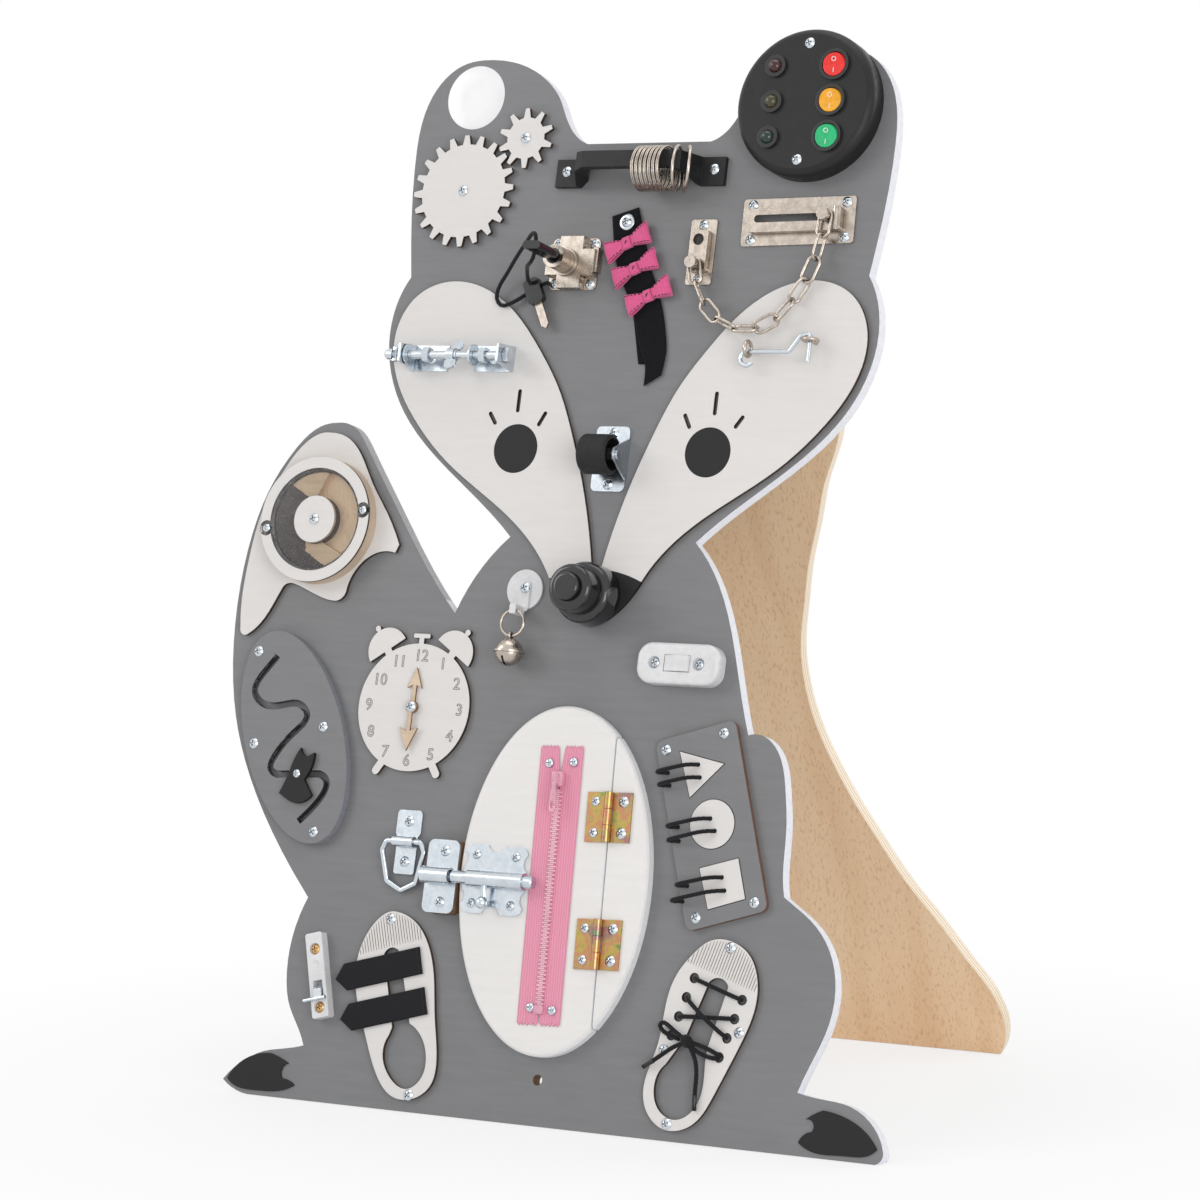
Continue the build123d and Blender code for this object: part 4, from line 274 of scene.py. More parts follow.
def route(points):
    """The smooth line of a cord: a quadratic NURBS spline with the points as its control points."""
    line = bpy.data.curves.new("route", "CURVE")
    line.dimensions = "3D"
    line.resolution_u = 10
    spline = line.splines.new("NURBS")
    spline.points.add(len(points) - 1)
    for point, place in zip(spline.points, leaned(points)):
        point.co = (*place, 1)
    spline.order_u = 3
    spline.use_endpoint_u = True
    holder = bpy.data.objects.new("route", line)
    drawn = bpy.data.meshes.new_from_object(holder)
    places = np.array([vertex.co[:] for vertex in drawn.vertices])
    bpy.data.objects.remove(holder)
    return places


CORD_RADIUS, LACE_RADIUS = 0.0015, 0.0016
CORD_STEP, TWIST_RADII = 0.00035, 7


def cord(name, points, radius, node, strands, shared=()):
    """A cord along its route. Its section is a circle with one lobe for each strand, turned
    along the length at one turn each TWIST_RADII; its frames lean on the least-turned normal.
    A shared cord rides on no body and has its places baked in; the bodies and places that SHARED lists are
    not used."""
    path = route(points)
    ahead = np.gradient(path, axis=0)
    ahead /= np.linalg.norm(ahead, axis=1)[:, None]
    side = [np.cross(ahead[0], (0.31, 0.94, 0.12))]
    for forward in ahead[1:]:
        side.append(side[-1] - forward * (side[-1] @ forward))
    side = np.array(side)
    side /= np.linalg.norm(side, axis=1)[:, None]
    other = np.cross(ahead, side)
    run = np.concatenate([[0], np.cumsum(np.linalg.norm(np.diff(path, axis=0), axis=1))])
    steps = max(24, int(run[-1] / CORD_STEP))
    fine = np.linspace(0, run[-1], steps)
    path, side, other = (np.stack([np.interp(fine, run, values[:, axis]) for axis in range(3)], -1)
                         for values in (path, side, other))
    angle = round_angles(20)
    twist = fine[:, None] / (radius * TWIST_RADII) * 2 * math.pi
    lobes = 0.90 + 0.10 * np.abs(np.cos(strands / 2 * (angle[None] + twist))) * 1.5 - 0.05
    reach = (radius * lobes)[..., None]
    grid = path[:, None] + reach * (np.cos(angle)[None, :, None] * side[:, None]
                                    + np.sin(angle)[None, :, None] * other[:, None])
    piece = surface(name, grid, black_yarn, "" if shared else "board", around=True,
                    ends=True, size=(run[-1], 2 * math.pi * radius))
    if shared:
        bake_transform(piece)
    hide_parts(node)
    return piece


KEY_CORD = [(-67.2, 600, 3.2), (-75, 598.5, 1.9), (-85, 591.5, 2.2), (-94, 584.5, 4.9)]
KEY_CORD += [(-103, 581.5, 5), (-108.5, 588, 5.2), (-106, 597, 6.5), (-98.5, 605, 10), (-90, 612, 17)]
KEY_CORD += [(-79.5, 618.5, 26), (-69.5, 622, 36), (-61, 624.5, 45.5), (-54.5, 624.5, 52)]
KEY_CORD += [(-51.3, 620, 54), (-51.3, 613.5, 54)]
SPARE_CORD = [(-51.3, 613.5, 54), (-51.3, 607.5, 54), (-53.8, 602.6, 53), (-59.5, 602, 47)]
SPARE_CORD += [(-65.5, 603.5, 38), (-71.5, 604.5, 28), (-76.5, 602.5, 18.5), (-78.23, 597.89, 12.8)]
SPARE_CORD += [(-78.23, 597.89, 5.4)]
cord("key_cord_loop", KEY_CORD, CORD_RADIUS, "key_cord", 3,
     shared=("board", "key", (-98.5, 605, 10), (-54.5, 624.5, 52)))
cord("spare_key_cord", SPARE_CORD, CORD_RADIUS, "key_cord", 3,
     shared=("key", "board", (-53.8, 602.6, 53), (-76.5, 602.5, 18.5)))

SHAPE_CORDS = {
    "triangle": [((99.2, 258.2), (76.2, 251.3)), ((101.5, 249.4), (78.6, 242.5))],
    "circle": [((113.3, 221.6), (88.9, 214.2)), ((117.8, 213.3), (90.8, 204.6))],
    "square": [((127.2, 181.9), (101.3, 174.3)), ((130.3, 173), (99, 163.4))],
}
for name, pairs in SHAPE_CORDS.items():
    for number, ((u, v), (a, b)) in enumerate(pairs):
        points = [(u, v, 0.6), (u, v, 6.3), ((u * 2 + a) / 3, (v * 2 + b) / 3 + 1, 10.4)]
        points += [((u + a * 2) / 3, (v + b * 2) / 3 + 1, 11.2), (a - 5.5, b, 10.4)]
        points += [(a - 6.5, b - 0.6, 5.9), (a, b, 6.3), (a, b, 0.6)]
        cord(f"{name}_cord_{number}", points, CORD_RADIUS, "shape_cords", 3,
             shared=(name, "board", (u, v, 6.3), (a, b, 6.3)))

EYELETS_LEFT = np.array([(114.4, 112), (110, 98.5), (105.8, 85)])
EYELETS_RIGHT = np.array([(152.6, 100), (144.3, 73.4), (148.4, 86.8)])
for number, (a, b, crown) in enumerate(zip(EYELETS_LEFT, EYELETS_RIGHT, (6.0, 8.6, 5.0))):
    reach = b - a
    over = reach / np.linalg.norm(reach) * 3
    shoulder = (5.2 + crown) / 2 + 0.3
    places = [(a, 2), (a + over, 5.2), (a + reach * 0.3, shoulder), (a + reach * 0.5, crown)]
    places += [(a + reach * 0.7, shoulder), (b - over, 5.2), (b, 2)]
    points = [(*place, w) for place, w in places]
    cord(f"lace_crossing_{number}", points, LACE_RADIUS, "shoe_lace", 4)


def turned_about(at, x, y, angle):
    """The u and v of x and y turned by an angle about a place."""
    return (at[0] + x * math.cos(angle) - y * math.sin(angle),
            at[1] + x * math.sin(angle) + y * math.cos(angle))


KNOT, KNOT_TURN = (116.5, 68.5, 7.4), math.radians(-35)
KNOT_LONG, KNOT_WIDE = 5.3, 3.9
turned, around = np.meshgrid(np.linspace(0.02, math.pi - 0.02, 44), round_angles(60), indexing="ij")
swell = 1 + 0.10 * np.abs(np.sin(2.5 * around + 3 * turned))
y = KNOT_WIDE * np.sin(turned) * np.cos(around) * swell
u, v = turned_about(KNOT, KNOT_LONG * np.cos(turned), y, KNOT_TURN)
w = KNOT[2] + KNOT_WIDE * np.sin(turned) * np.sin(around) * swell
knot = surface("lace_knot", leaned(np.stack([u, v, w], -1)), black_yarn, "board",
               around=True, ends=True)
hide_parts("shoe_lace")

tip_plastic = mottled("lace_tip", 300.0, (0.004, 0.004, 0.005), (0.012, 0.012, 0.012), 0.16)
TIP_PROFILE = [(0, 1.2), (0.02, 1.62), (0.15, 1.66), (0.9, 1.5), (0.98, 1.3), (1, 0.8)]


def lace_tip(name, start, end):
    """TIP_PROFILE's (share of the length, radius in mm) pairs carried round the tip's line."""
    start, end = leaned(start), leaned(end)
    axis = (end - start) / np.linalg.norm(end - start)
    side = np.cross(axis, (0.31, 0.94, 0.12))
    side /= np.linalg.norm(side)
    other = np.cross(axis, side)
    shares, radii = np.array(TIP_PROFILE).T
    angle = round_angles(24)
    ring = np.cos(angle)[:, None] * side + np.sin(angle)[:, None] * other
    grid = (start + shares[:, None] * (end - start))[:, None] + radii[:, None, None] / 1000 * ring[None]
    return surface(name, grid, tip_plastic, "board", around=True, ends=True)


tip_left = lace_tip("lace_tip_left", (92.5, 53.4, 7.1), (84.6, 48.5, 5.7))
tip_right = lace_tip("lace_tip_right", (126.0, 33.0, 5.4), (126.6, 23.0, 5.05))
LACE_LOOP = [(140.6, 61, 2), (139, 62, 5.2), (132.5, 65, 6.2), (124, 67.2, 6.6), (116.5, 68.5, 7.4)]
LACE_LOOP += [(106, 75, 8.2), (97.5, 80.5, 7.6), (93.6, 78.2, 6.9), (96.5, 73.8, 6.4)]
LACE_LOOP += [(104.5, 70.8, 6.2), (110, 69.5, 6)]
LACE_LEFT = [(139.4, 59.2, 2), (137.4, 58.8, 5.2), (131, 59.8, 6.2), (123, 62.8, 6.6), (116.5, 68.5, 7.4)]
LACE_LEFT += [(106, 63.5, 8), (95, 55, 7.6), (84.3, 48.3, 5.6)]
LACE_RIGHT = [(116.5, 68.5, 7.4), (123.5, 60, 7.4), (126.2, 48, 6), (125.8, 34, 5.4), (126.7, 22.4, 5)]
cord("lace_loop", LACE_LOOP, LACE_RADIUS, "shoe_lace", 4)
cord("lace_tail_left", LACE_LEFT, LACE_RADIUS, "shoe_lace", 4)
cord("lace_tail_right", LACE_RIGHT, LACE_RADIUS, "shoe_lace", 4)

# ------------------------------------------------------------------ painted panel and overlays
# Birch plywood: the panel is rolled with gray satin paint and its edge with white, and the
# thin parts are laser cut, which browns their edges, and painted white, gray or black. The
# white parts' dark brown edge colour is part laser burn and part painted shade.


def mix(tree, factor, first, second, kind="MIX"):
    """Two colours blended or multiplied, by a factor."""
    return add(tree, "ShaderNodeMix", [(0, factor), (6, first), (7, second)], data_type="RGBA",
               blend_type=kind).outputs[2]


def summed(tree, *parts):
    """Patterns added up, each with its weight."""
    weighed = [math_of(tree, "MULTIPLY", pattern, weight) for pattern, weight in parts]
    total = weighed[0]
    for part in weighed[1:]:
        total = math_of(tree, "ADD", total, part)
    return total


def shade(color, factor):
    """A colour times a factor, with no channel over 1."""
    return tuple(min(1, channel * factor) for channel in color)


def on_edge(tree, outward):
    """1 where a face is turned away from a sheet's outward direction, which is on its cut edges."""
    normal = add(tree, "ShaderNodeNewGeometry").outputs["True Normal"]
    return math_of(tree, "LESS_THAN", math_of(tree, "ABSOLUTE", measured(tree, normal, outward)), 0.6)


def painted_ply(name, face, edge, roughness, grain=420.0, depth=0.00010, fleck=0.2, streak=0.05,
                gloss=0.4):
    """Paint over faint upright grain, with flecked plies along the edge."""
    material, tree, shader = new_material(name)
    fine = cloud(tree, spot(tree), grain, 4.0, 0.62)
    grainy = cloud(tree, spot(tree, scale=(0.14, 1, 1)), 210.0, 3.0, 0.6)
    level = summed(tree, (grainy, 0.6), (cloud(tree, spot(tree), 7.0, 2.0), 0.4))
    front = ramp(tree, level, (0.36, shade(face, 1 - streak)), (0.62, shade(face, 1 + streak)))
    side = ramp(tree, cloud(tree, spot(tree), 330.0, 3.0), (0.38, shade(edge, 1 - fleck)), (0.6, edge))
    fill(shader, [("Base Color", mix(tree, on_edge(tree, OUTWARD), front, side)), ("Roughness", roughness),
                  ("Specular IOR Level", gloss)])
    bump(tree, shader, summed(tree, (fine, 1), (grainy, 0.8)), depth, 0.6, 0.0006)
    return material


def paint(node, *materials):
    """Gives a CAD node its materials."""
    slots = nodes[node].data.materials
    slots.clear()
    for material in materials:
        slots.append(material)


def mesh_of(node):
    """A CAD node's mesh, its vertices as panel places in millimetres, and each triangle's three
    vertex numbers."""
    mesh = nodes[node].data
    places = np.empty(len(mesh.vertices) * 3)
    mesh.vertices.foreach_get("co", places)
    matrix = np.array(nodes[node].matrix_world)
    places = places.reshape(-1, 3) @ matrix[:3, :3].T + matrix[:3, 3]
    corners = np.empty(len(mesh.loops), dtype=np.int64)
    mesh.loops.foreach_get("vertex_index", corners)
    return mesh, (places - SOLE) @ PANEL_AXES.T * 1000, corners.reshape(-1, 3)


def paint_faces(node, materials, choose):
    """Each triangle takes the material whose number CHOOSE gives for its corners' u, v and w."""
    paint(node, *materials)
    mesh, places, corners = mesh_of(node)
    numbers = choose(*np.moveaxis(places[corners], -1, 0)).astype(np.int32)
    mesh.polygons.foreach_set("material_index", numbers)
    mesh.update()


GRAY = (0.205, 0.206, 0.212)
# The white parts' cut edges take this dark brown, part laser burn and part painted shade.
BURNT_AND_SHADED_EDGE = (0.060, 0.034, 0.020)
gray_board = painted_ply("gray_board", GRAY, (0.82, 0.83, 0.88), 0.5, fleck=0.07)
gray_edge = painted_ply("gray_edge", GRAY, (0.50, 0.50, 0.53), 0.5, fleck=0.15)
gray_maze = painted_ply("gray_maze", GRAY, (0.27, 0.275, 0.31), 0.5, fleck=0.1)
# Painted shade: the maze slot's walls are near-black, as a slot deeper than wide looks dark.
slot_shade = painted_ply("slot_shade", (0.05, 0.05, 0.052), (0.045, 0.042, 0.042), 0.6)
gray_overlay = painted_ply("gray_overlay", GRAY, (0.20, 0.11, 0.075), 0.5)
white_overlay = painted_ply("white_overlay", (0.76, 0.735, 0.715), BURNT_AND_SHADED_EDGE, 0.62, 300.0, 0.00007,
                            streak=0.02)
black_overlay = painted_ply("black_overlay", (0.020, 0.020, 0.021), (0.02, 0.014, 0.01), 0.5, 300.0,
                            gloss=0.2)
natural_hand = painted_ply("natural_hand", (0.68, 0.53, 0.38), (0.20, 0.10, 0.05), 0.6, 300.0, streak=0.12)
# Painted light: the door's edge colour is lighter than its face, as its edges face right and down, away
# from most light.
door_white = painted_ply("door_white", (0.83, 0.81, 0.79), (0.95, 0.95, 0.97), 0.45, 240.0, 0.00007,
                         fleck=0.04, streak=0.02)
for material, painted in (
    (gray_overlay, ["shape_panel"]),
    (black_overlay, ["black_patches"]),
    (white_overlay, ["white_masks", "clock_face", "shoe_panels", "shape_triangle", "shape_circle",
                     "shape_square", "gear_big", "gear_small"]),
    (natural_hand, ["minute_hand", "hour_hand"]),
    (door_white, ["door_panel", "door_segment"]),
):
    for node in painted:
        paint(node, material)

SCREW_HOLE_V, SCREW_HOLE_R = 32, 3.9
TAIL_EDGE = ((-250, -120), 345)


def board_part(u, v, w):
    """Face and white edge, the bare wall of the foot's hole, or gray edge on the upper left."""
    hole = (np.hypot(u, v - SCREW_HOLE_V) < SCREW_HOLE_R).all(1)
    (left, right), low = TAIL_EDGE
    tail = ((u < right) & (u > left) & (v > low)).all(1)
    return np.where(hole, 1, np.where(tail, 2, 0))


paint_faces("main_board", (gray_board, natural_hand, gray_edge), board_part)
MAZE_MID, MAZE_TURN, MAZE_HALVES = (-233.5, 260.4), math.radians(23.8), (41.4, 82.4)


def in_slot(u, v, w):
    """Walls of the maze's slot, which take painted shade: upright faces inside the oval scaled down to
    0.97.
    """
    x, y = turned_about((0, 0), u - MAZE_MID[0], v - MAZE_MID[1], -MAZE_TURN)
    inside = (np.hypot(x / MAZE_HALVES[0], y / MAZE_HALVES[1]) < 0.97).all(1)
    return inside & (w.max(1) - w.min(1) > 1)


paint_faces("maze_panel", (gray_maze, slot_shade), in_slot)

# ------------------------------------------------------------------ rear leg
# Clear-lacquered birch plywood with upright grain, and pale and brown plies along its edge.
# It leans the other way, so its plies are measured along its own outward direction.
LEG_LEAN = math.radians(19.2)
LEG_OUTWARD = (0.0, -math.cos(LEG_LEAN), -math.sin(LEG_LEAN))


def plies(tree, outward, pitch):
    """A sine through a sheet's thickness, with one period for each pair of plies."""
    depth = measured(tree, spot(tree), outward)
    return math_of(tree, "SINE", math_of(tree, "MULTIPLY", depth, 2 * math.pi / pitch))


birch, tree, shader = new_material("birch")
figure = cloud(tree, spot(tree, scale=(1, 1, 0.09)), 15.0, 5.0, 0.6)
swirl = spot(tree, scale=(1, 1, 0.13))
waves = add(tree, "ShaderNodeTexWave", [("Vector", swirl), ("Scale", 5.5), ("Distortion", 8.0),
                                        ("Detail", 3.0)], bands_direction="X").outputs["Fac"]
pores = cloud(tree, spot(tree, scale=(1, 1, 0.03)), 640.0, 3.0)
body = ramp(tree, figure, (0.30, (0.93, 0.63, 0.39)), (0.52, (0.97, 0.70, 0.45)),
            (0.74, (1.0, 0.76, 0.51)))
lines = ramp(tree, waves, (0.0, (0.94, 0.89, 0.83)), (0.35, (1, 1, 1)), (1.0, (1, 1, 1)))
ticks = ramp(tree, pores, (0.36, (0.62, 0.42, 0.28)), (0.46, (1, 1, 1)))
toned = mix(tree, 0.35, mix(tree, 0.7, body, lines, "MULTIPLY"), ticks, "MULTIPLY")
layers = ramp(tree, plies(tree, LEG_OUTWARD, 0.0029), (0.0, (0.92, 0.80, 0.63)),
              (0.66, (0.92, 0.80, 0.63)), (0.86, (0.62, 0.42, 0.25)))
fill(shader, [("Base Color", mix(tree, on_edge(tree, LEG_OUTWARD), toned, layers)), ("Roughness", 0.42),
              ("Coat Weight", 0.12)])
bump(tree, shader, pores, 0.0001, 0.3, 0.001)

# ------------------------------------------------------------------ metal and plastic fittings
# Blue-white zinc plate on the screws, bolt and hooks, warm satin nickel on the lock and
# chain, yellow zinc with rainbow tints on the hinges, and moulded black and white plastic.


def plated(name, color, tint, roughness):
    """Plated sheet and wire: clouded tint and gloss, fine draw marks, and painted shade in recesses."""
    material, tree, shader = new_material(name)
    clouded = ramp(tree, cloud(tree, spot(tree), 170.0), (0.35, tint), (0.65, color))
    # Painted shade: an ambient occlusion node darkens the colour in the crosses and other recesses.
    recess_shading = add(tree, "ShaderNodeAmbientOcclusion", [("Distance", 0.0016)], samples=12, only_local=True)
    sunk = ramp(tree, recess_shading.outputs["AO"], (0.30, (0.10, 0.10, 0.11)), (0.80, (1, 1, 1)))
    wear = ramp(tree, cloud(tree, spot(tree), 380.0), (0.3, (roughness * 0.75,) * 3),
                (0.7, (roughness * 1.25,) * 3))
    fill(shader, [("Base Color", mix(tree, 1.0, clouded, sunk, "MULTIPLY")), ("Metallic", 1.0),
                  ("Roughness", wear)])
    bump(tree, shader, cloud(tree, spot(tree), 900.0), 0.00003, 0.5, 0.0003)
    return material


def moulded(name, color, roughness, grain=500.0, depth=0.00004, coat=0.0, gloss=0.5):
    """Moulded plastic or dipped paint: a faint mottle, with grain from the mould."""
    material, tree, shader = new_material(name)
    tone = ramp(tree, cloud(tree, spot(tree), 60.0), (0.3, shade(color, 0.86)), (0.7, color))
    wear = ramp(tree, cloud(tree, spot(tree), 150.0), (0.3, (roughness * 0.85,) * 3),
                (0.7, (roughness * 1.15,) * 3))
    fill(shader, [("Base Color", tone), ("Roughness", wear), ("Coat Weight", coat),
                  ("Specular IOR Level", gloss)])
    bump(tree, shader, cloud(tree, spot(tree), grain, 2.0), depth, 0.6, 0.0004)
    return material


zinc = plated("zinc", (0.64, 0.69, 0.73), (0.57, 0.62, 0.67), 0.22)
nickel = plated("nickel", (0.56, 0.495, 0.43), (0.42, 0.365, 0.315), 0.26)
brass = plated("brass", (0.75, 0.50, 0.22), (0.58, 0.36, 0.16), 0.30)
black_paint = moulded("black_paint", (0.013, 0.013, 0.014), 0.40, 700.0, 0.00006, gloss=0.3)
black_gloss = moulded("black_gloss", (0.010, 0.010, 0.011), 0.16, coat=0.4)
black_pebble = moulded("black_pebble", (0.014, 0.014, 0.015), 0.42, 950.0, 0.00020, gloss=0.3)
wheel_rubber = moulded("wheel_rubber", (0.016, 0.016, 0.017), 0.60, 800.0, 0.00010, gloss=0.3)
white_plastic = moulded("white_plastic", (0.80, 0.80, 0.81), 0.28, coat=0.2)

hinge_plate, tree, shader = new_material("hinge_plate")
tint = cloud(tree, spot(tree), 62.0, 4.0, 0.6)
rainbow = ramp(tree, tint, (0.30, (0.16, 0.24, 0.11)), (0.40, (0.46, 0.36, 0.10)),
               (0.48, (0.50, 0.22, 0.14)), (0.56, (0.42, 0.33, 0.12)), (0.64, (0.36, 0.17, 0.17)),
               (0.74, (0.20, 0.27, 0.16)))
fill(shader, [("Base Color", rainbow), ("Metallic", 1.0), ("Roughness", 0.3)])
bump(tree, shader, cloud(tree, spot(tree), 700.0), 0.00003, 0.5, 0.0003)


def solids_of(node):
    """A CAD node's solids, as (their triangles, lowest and highest corner on the panel). Triangles
    that share a corner take the lowest number among them until no number changes."""
    _, places, corners = mesh_of(node)
    keys = np.unique(np.round(places * 1e3).astype(np.int64), axis=0, return_inverse=True)[1].ravel()
    linked = keys[corners]
    label = np.arange(keys.max() + 1)
    while True:
        fresh = label.copy()
        lowest = label[linked].min(1)
        np.minimum.at(fresh, linked, lowest[:, None])
        fresh = fresh[fresh]
        if np.array_equal(fresh, label):
            break
        label = fresh
    owner = label[linked[:, 0]]
    found = []
    for value in np.unique(owner):
        members = np.nonzero(owner == value)[0]
        used = places[corners[members]].reshape(-1, 3)
        found.append((members, used.min(0), used.max(0)))
    return found


def paint_solids(node, materials, choose):
    """Each solid of a node takes the material whose number CHOOSE gives for its two corners."""
    paint(node, *materials)
    mesh = nodes[node].data
    numbers = np.zeros(len(mesh.polygons), dtype=np.int32)
    for members, low, high in solids_of(node):
        numbers[members] = choose(low, high)
    mesh.polygons.foreach_set("material_index", numbers)
    mesh.update()


for material, fittings in (
    (nickel, ["chain_plates", "chain_knob", "chain_links", "lock_body", "bell"]),
    (zinc, ["dring_plate", "d_ring", "bolt_guide", "bolt_rod", "gate_hook", "bolt_rack", "wing_nut",
            "caster_bracket", "catch_lever"]),
    (wheel_rubber, ["caster_wheel"]),
    (black_gloss, ["knob_base", "nose_button", "lock_key"]),
    (white_plastic, ["lamp_switch_body", "lamp_rocker", "catch_plate"]),
):
    for node in fittings:
        paint(node, material)
for node, material, fixing, width in (
    ("maze_slider", black_overlay, zinc, 9),
    ("stand_panel", birch, zinc, 200),
    ("pull_handle", black_paint, nickel, 100),
    ("bell_mount", white_plastic, nickel, 15),
):
    paint_solids(node, (material, fixing), lambda low, high: int(high[0] - low[0] < width))
KEEPER_BLOCK_TOP, LEAF_BACK = 9.01, 8.5
paint_faces("bolt_keeper", (zinc, natural_hand), lambda u, v, w: w.max(1) < KEEPER_BLOCK_TOP)
for node in ("fixed_leaves", "door_leaves"):
    paint_solids(node, (hinge_plate, zinc), lambda low, high: int(low[2] < LEAF_BACK))
CATCH_SCREWS = np.array([(-190.7, 108.0), (-180.7, 67.0)])


def catch_screw(low, high):
    """1 for a screw within 3 mm of one of the catch's two."""
    return int((np.linalg.norm(CATCH_SCREWS - (low + high)[:2] / 2, axis=1) < 3).any())


paint_solids("board_screws", (zinc, brass), catch_screw)
SPARE_HEAD, SPARE_TURN = (-75.6, 592.5), math.radians(26.0)
BLADE_START, BLADE_BARE = 9.4, 10


def key_blade(u, v, w):
    """1 below the spare key's moulded head, where the bare blade comes out."""
    down = (u - SPARE_HEAD[0]) * math.sin(SPARE_TURN) - (v - SPARE_HEAD[1]) * math.cos(SPARE_TURN)
    return (down.min(1) > BLADE_START) & (down.max(1) > BLADE_BARE)


paint_faces("spare_key", (black_gloss, nickel), key_blade)

# ------------------------------------------------------------------ light box
# Turned and pebbled black housing with six glossy collars: dark tinted lenses on the left,
# and ball rockers on the right with a faint painted glow in their own colours, marked O above I.
BOX_MID, ROW_PITCH = (129.0, 726.0), 25.7


def tinted(name, color, roughness=0.12, glow=0.0, clear=0.25):
    """Clear tinted plastic: part of the light goes through, with a glossy skin and, at GLOW, a painted glow
    in its own colour.
    """
    material, tree, shader = new_material(name)
    tone = ramp(tree, cloud(tree, spot(tree), 240.0), (0.35, shade(color, 0.8)), (0.65, color))
    fill(shader, [("Base Color", tone), ("Roughness", roughness), ("Transmission Weight", clear),
                  ("Coat Weight", 0.25), ("Emission Color", (*color, 1)), ("Emission Strength", glow)])
    bump(tree, shader, cloud(tree, spot(tree), 400.0), 0.00002, 0.5, 0.0004)
    return material


lens_red = tinted("lens_red", (0.06, 0.004, 0.006))
lens_olive = tinted("lens_olive", (0.07, 0.06, 0.008))
lens_green = tinted("lens_green", (0.006, 0.035, 0.018))
HOUSING_WIDTH, COLLAR_WIDTH = 23, 11


def box_part(low, high):
    """Housing, collars, or one of the three lenses by its row."""
    width = high[0] - low[0]
    row = int(round(1 - ((low[1] + high[1]) / 2 - BOX_MID[1]) / ROW_PITCH))
    return 0 if width > HOUSING_WIDTH else 1 if width > COLLAR_WIDTH else 2 + row


paint_solids("light_box", (black_pebble, black_gloss, lens_red, lens_olive, lens_green), box_part)
sign_white = mottled("sign_white", 600.0, (0.80, 0.80, 0.80), (0.93, 0.93, 0.93), 0.4)


def lettered(name, words, height, place, slope, material, body, outline=0.0):
    """A word in plain type HEIGHT mm tall, centred at PLACE on the panel; its face slopes back
    about u. With an outline it is a line of that radius, and otherwise a thin flat letter."""
    text = bpy.data.curves.new(name, "FONT")
    text.body = words
    text.size = height * 1.38
    text.align_x = text.align_y = "CENTER"
    text.resolution_u = 3
    if outline:
        text.fill_mode = "NONE"
        text.bevel_depth = outline
        text.bevel_resolution = 1
    else:
        text.extrude = 0.05
    holder = bpy.data.objects.new(name, text)
    mesh = bpy.data.meshes.new_from_object(holder)
    bpy.data.objects.remove(holder)
    flat = np.empty(len(mesh.vertices) * 3)
    mesh.vertices.foreach_get("co", flat)
    flat = flat.reshape(-1, 3)
    flat[:, :2] -= (flat[:, :2].min(0) + flat[:, :2].max(0)) / 2
    up, out = turned_about((0, 0), flat[:, 1], flat[:, 2], math.radians(slope))
    mesh.vertices.foreach_set("co", leaned(np.stack([flat[:, 0], up, out], -1) + place).ravel())
    return placed(name, mesh, body, material)


ROCKER_U, ROCKER_PIVOT_W, ROCKER_TILT = 150.5, 17.5, 8.0
SIGN_Y, SIGN_LIFT = 3.9, 0.06
ROCKER_COLORS = {"red": (0.86, 0.02, 0.015), "amber": (0.95, 0.42, 0.01), "green": (0.01, 0.50, 0.18)}
for row, (name, color) in enumerate(ROCKER_COLORS.items()):
    # Each rocker's plastic has a faint painted glow, 0.08, in its own colour.
    rocker_plastic = tinted(f"rocker_{name}_plastic", color, 0.24, 0.08, 0.0)
    paint(f"rocker_{name}", rocker_plastic)
    middle = BOX_MID[1] + ROW_PITCH * (1 - row)
    tilt = math.radians(ROCKER_TILT)
    rise = 2.4 + SIGN_Y * math.tan(tilt)
    for words, y in (("O", SIGN_Y), ("I", -SIGN_Y)):
        v = middle + y * math.cos(tilt) - rise * math.sin(tilt)
        w = ROCKER_PIVOT_W + y * math.sin(tilt) + rise * math.cos(tilt) + SIGN_LIFT
        slope = 2 * ROCKER_TILT if y > 0 else 0.0
        label = f"{name}_{'off' if words == 'O' else 'on'}_sign"
        lettered(label, words, 3.6, (ROCKER_U, v, w), slope, sign_white, f"{name}_rocker")

# ------------------------------------------------------------------ hanging chain
# The CAD chain's links, drawn again as one piece that rides on no body, baked in place. Its
# first link is held on the board and its last one is carried by the knob on the track.
chain_mesh = nodes["chain_links"].data.copy()
chain_mesh.transform(nodes["chain_links"].matrix_world)
chain = placed("hanging_chain", chain_mesh, "")
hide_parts("chain_links")
chain_left = min(low[0] for _, low, _ in solids_of("chain_links"))
chain_right = max(high[0] for _, _, high in solids_of("chain_links"))
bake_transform(chain)

# ------------------------------------------------------------------ split rings
# Seven key rings of springy nickel-plated wire on the handle. Each is two turns of a flat
# coil, drawn at the middle of the CAD ring that it stands for.
RING_RADIUS, RING_WIRE = 15.8, 0.6


def coil(centre, radius, wire):
    """A wire carried twice round an upright circle about u, stepping sideways by its own width."""
    angle = np.linspace(0, 4 * math.pi, 140)
    shift = wire * np.tanh((angle - 2 * math.pi) / 0.35)
    ring = round_angles(10)
    reach = radius + wire * np.cos(ring)[None]
    u = centre[0] + shift[:, None] + wire * np.sin(ring)[None]
    v = centre[1] + reach * np.cos(angle)[:, None]
    return np.stack([u, v, centre[2] + reach * np.sin(angle)[:, None]], -1)


for number, (_, low, high) in enumerate(solids_of("split_rings")):
    grid = leaned(coil((low + high) / 2, RING_RADIUS, RING_WIRE))
    ring = surface(f"split_ring_{number}", grid, nickel, "rings", around=True, ends=True)
    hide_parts("split_rings")

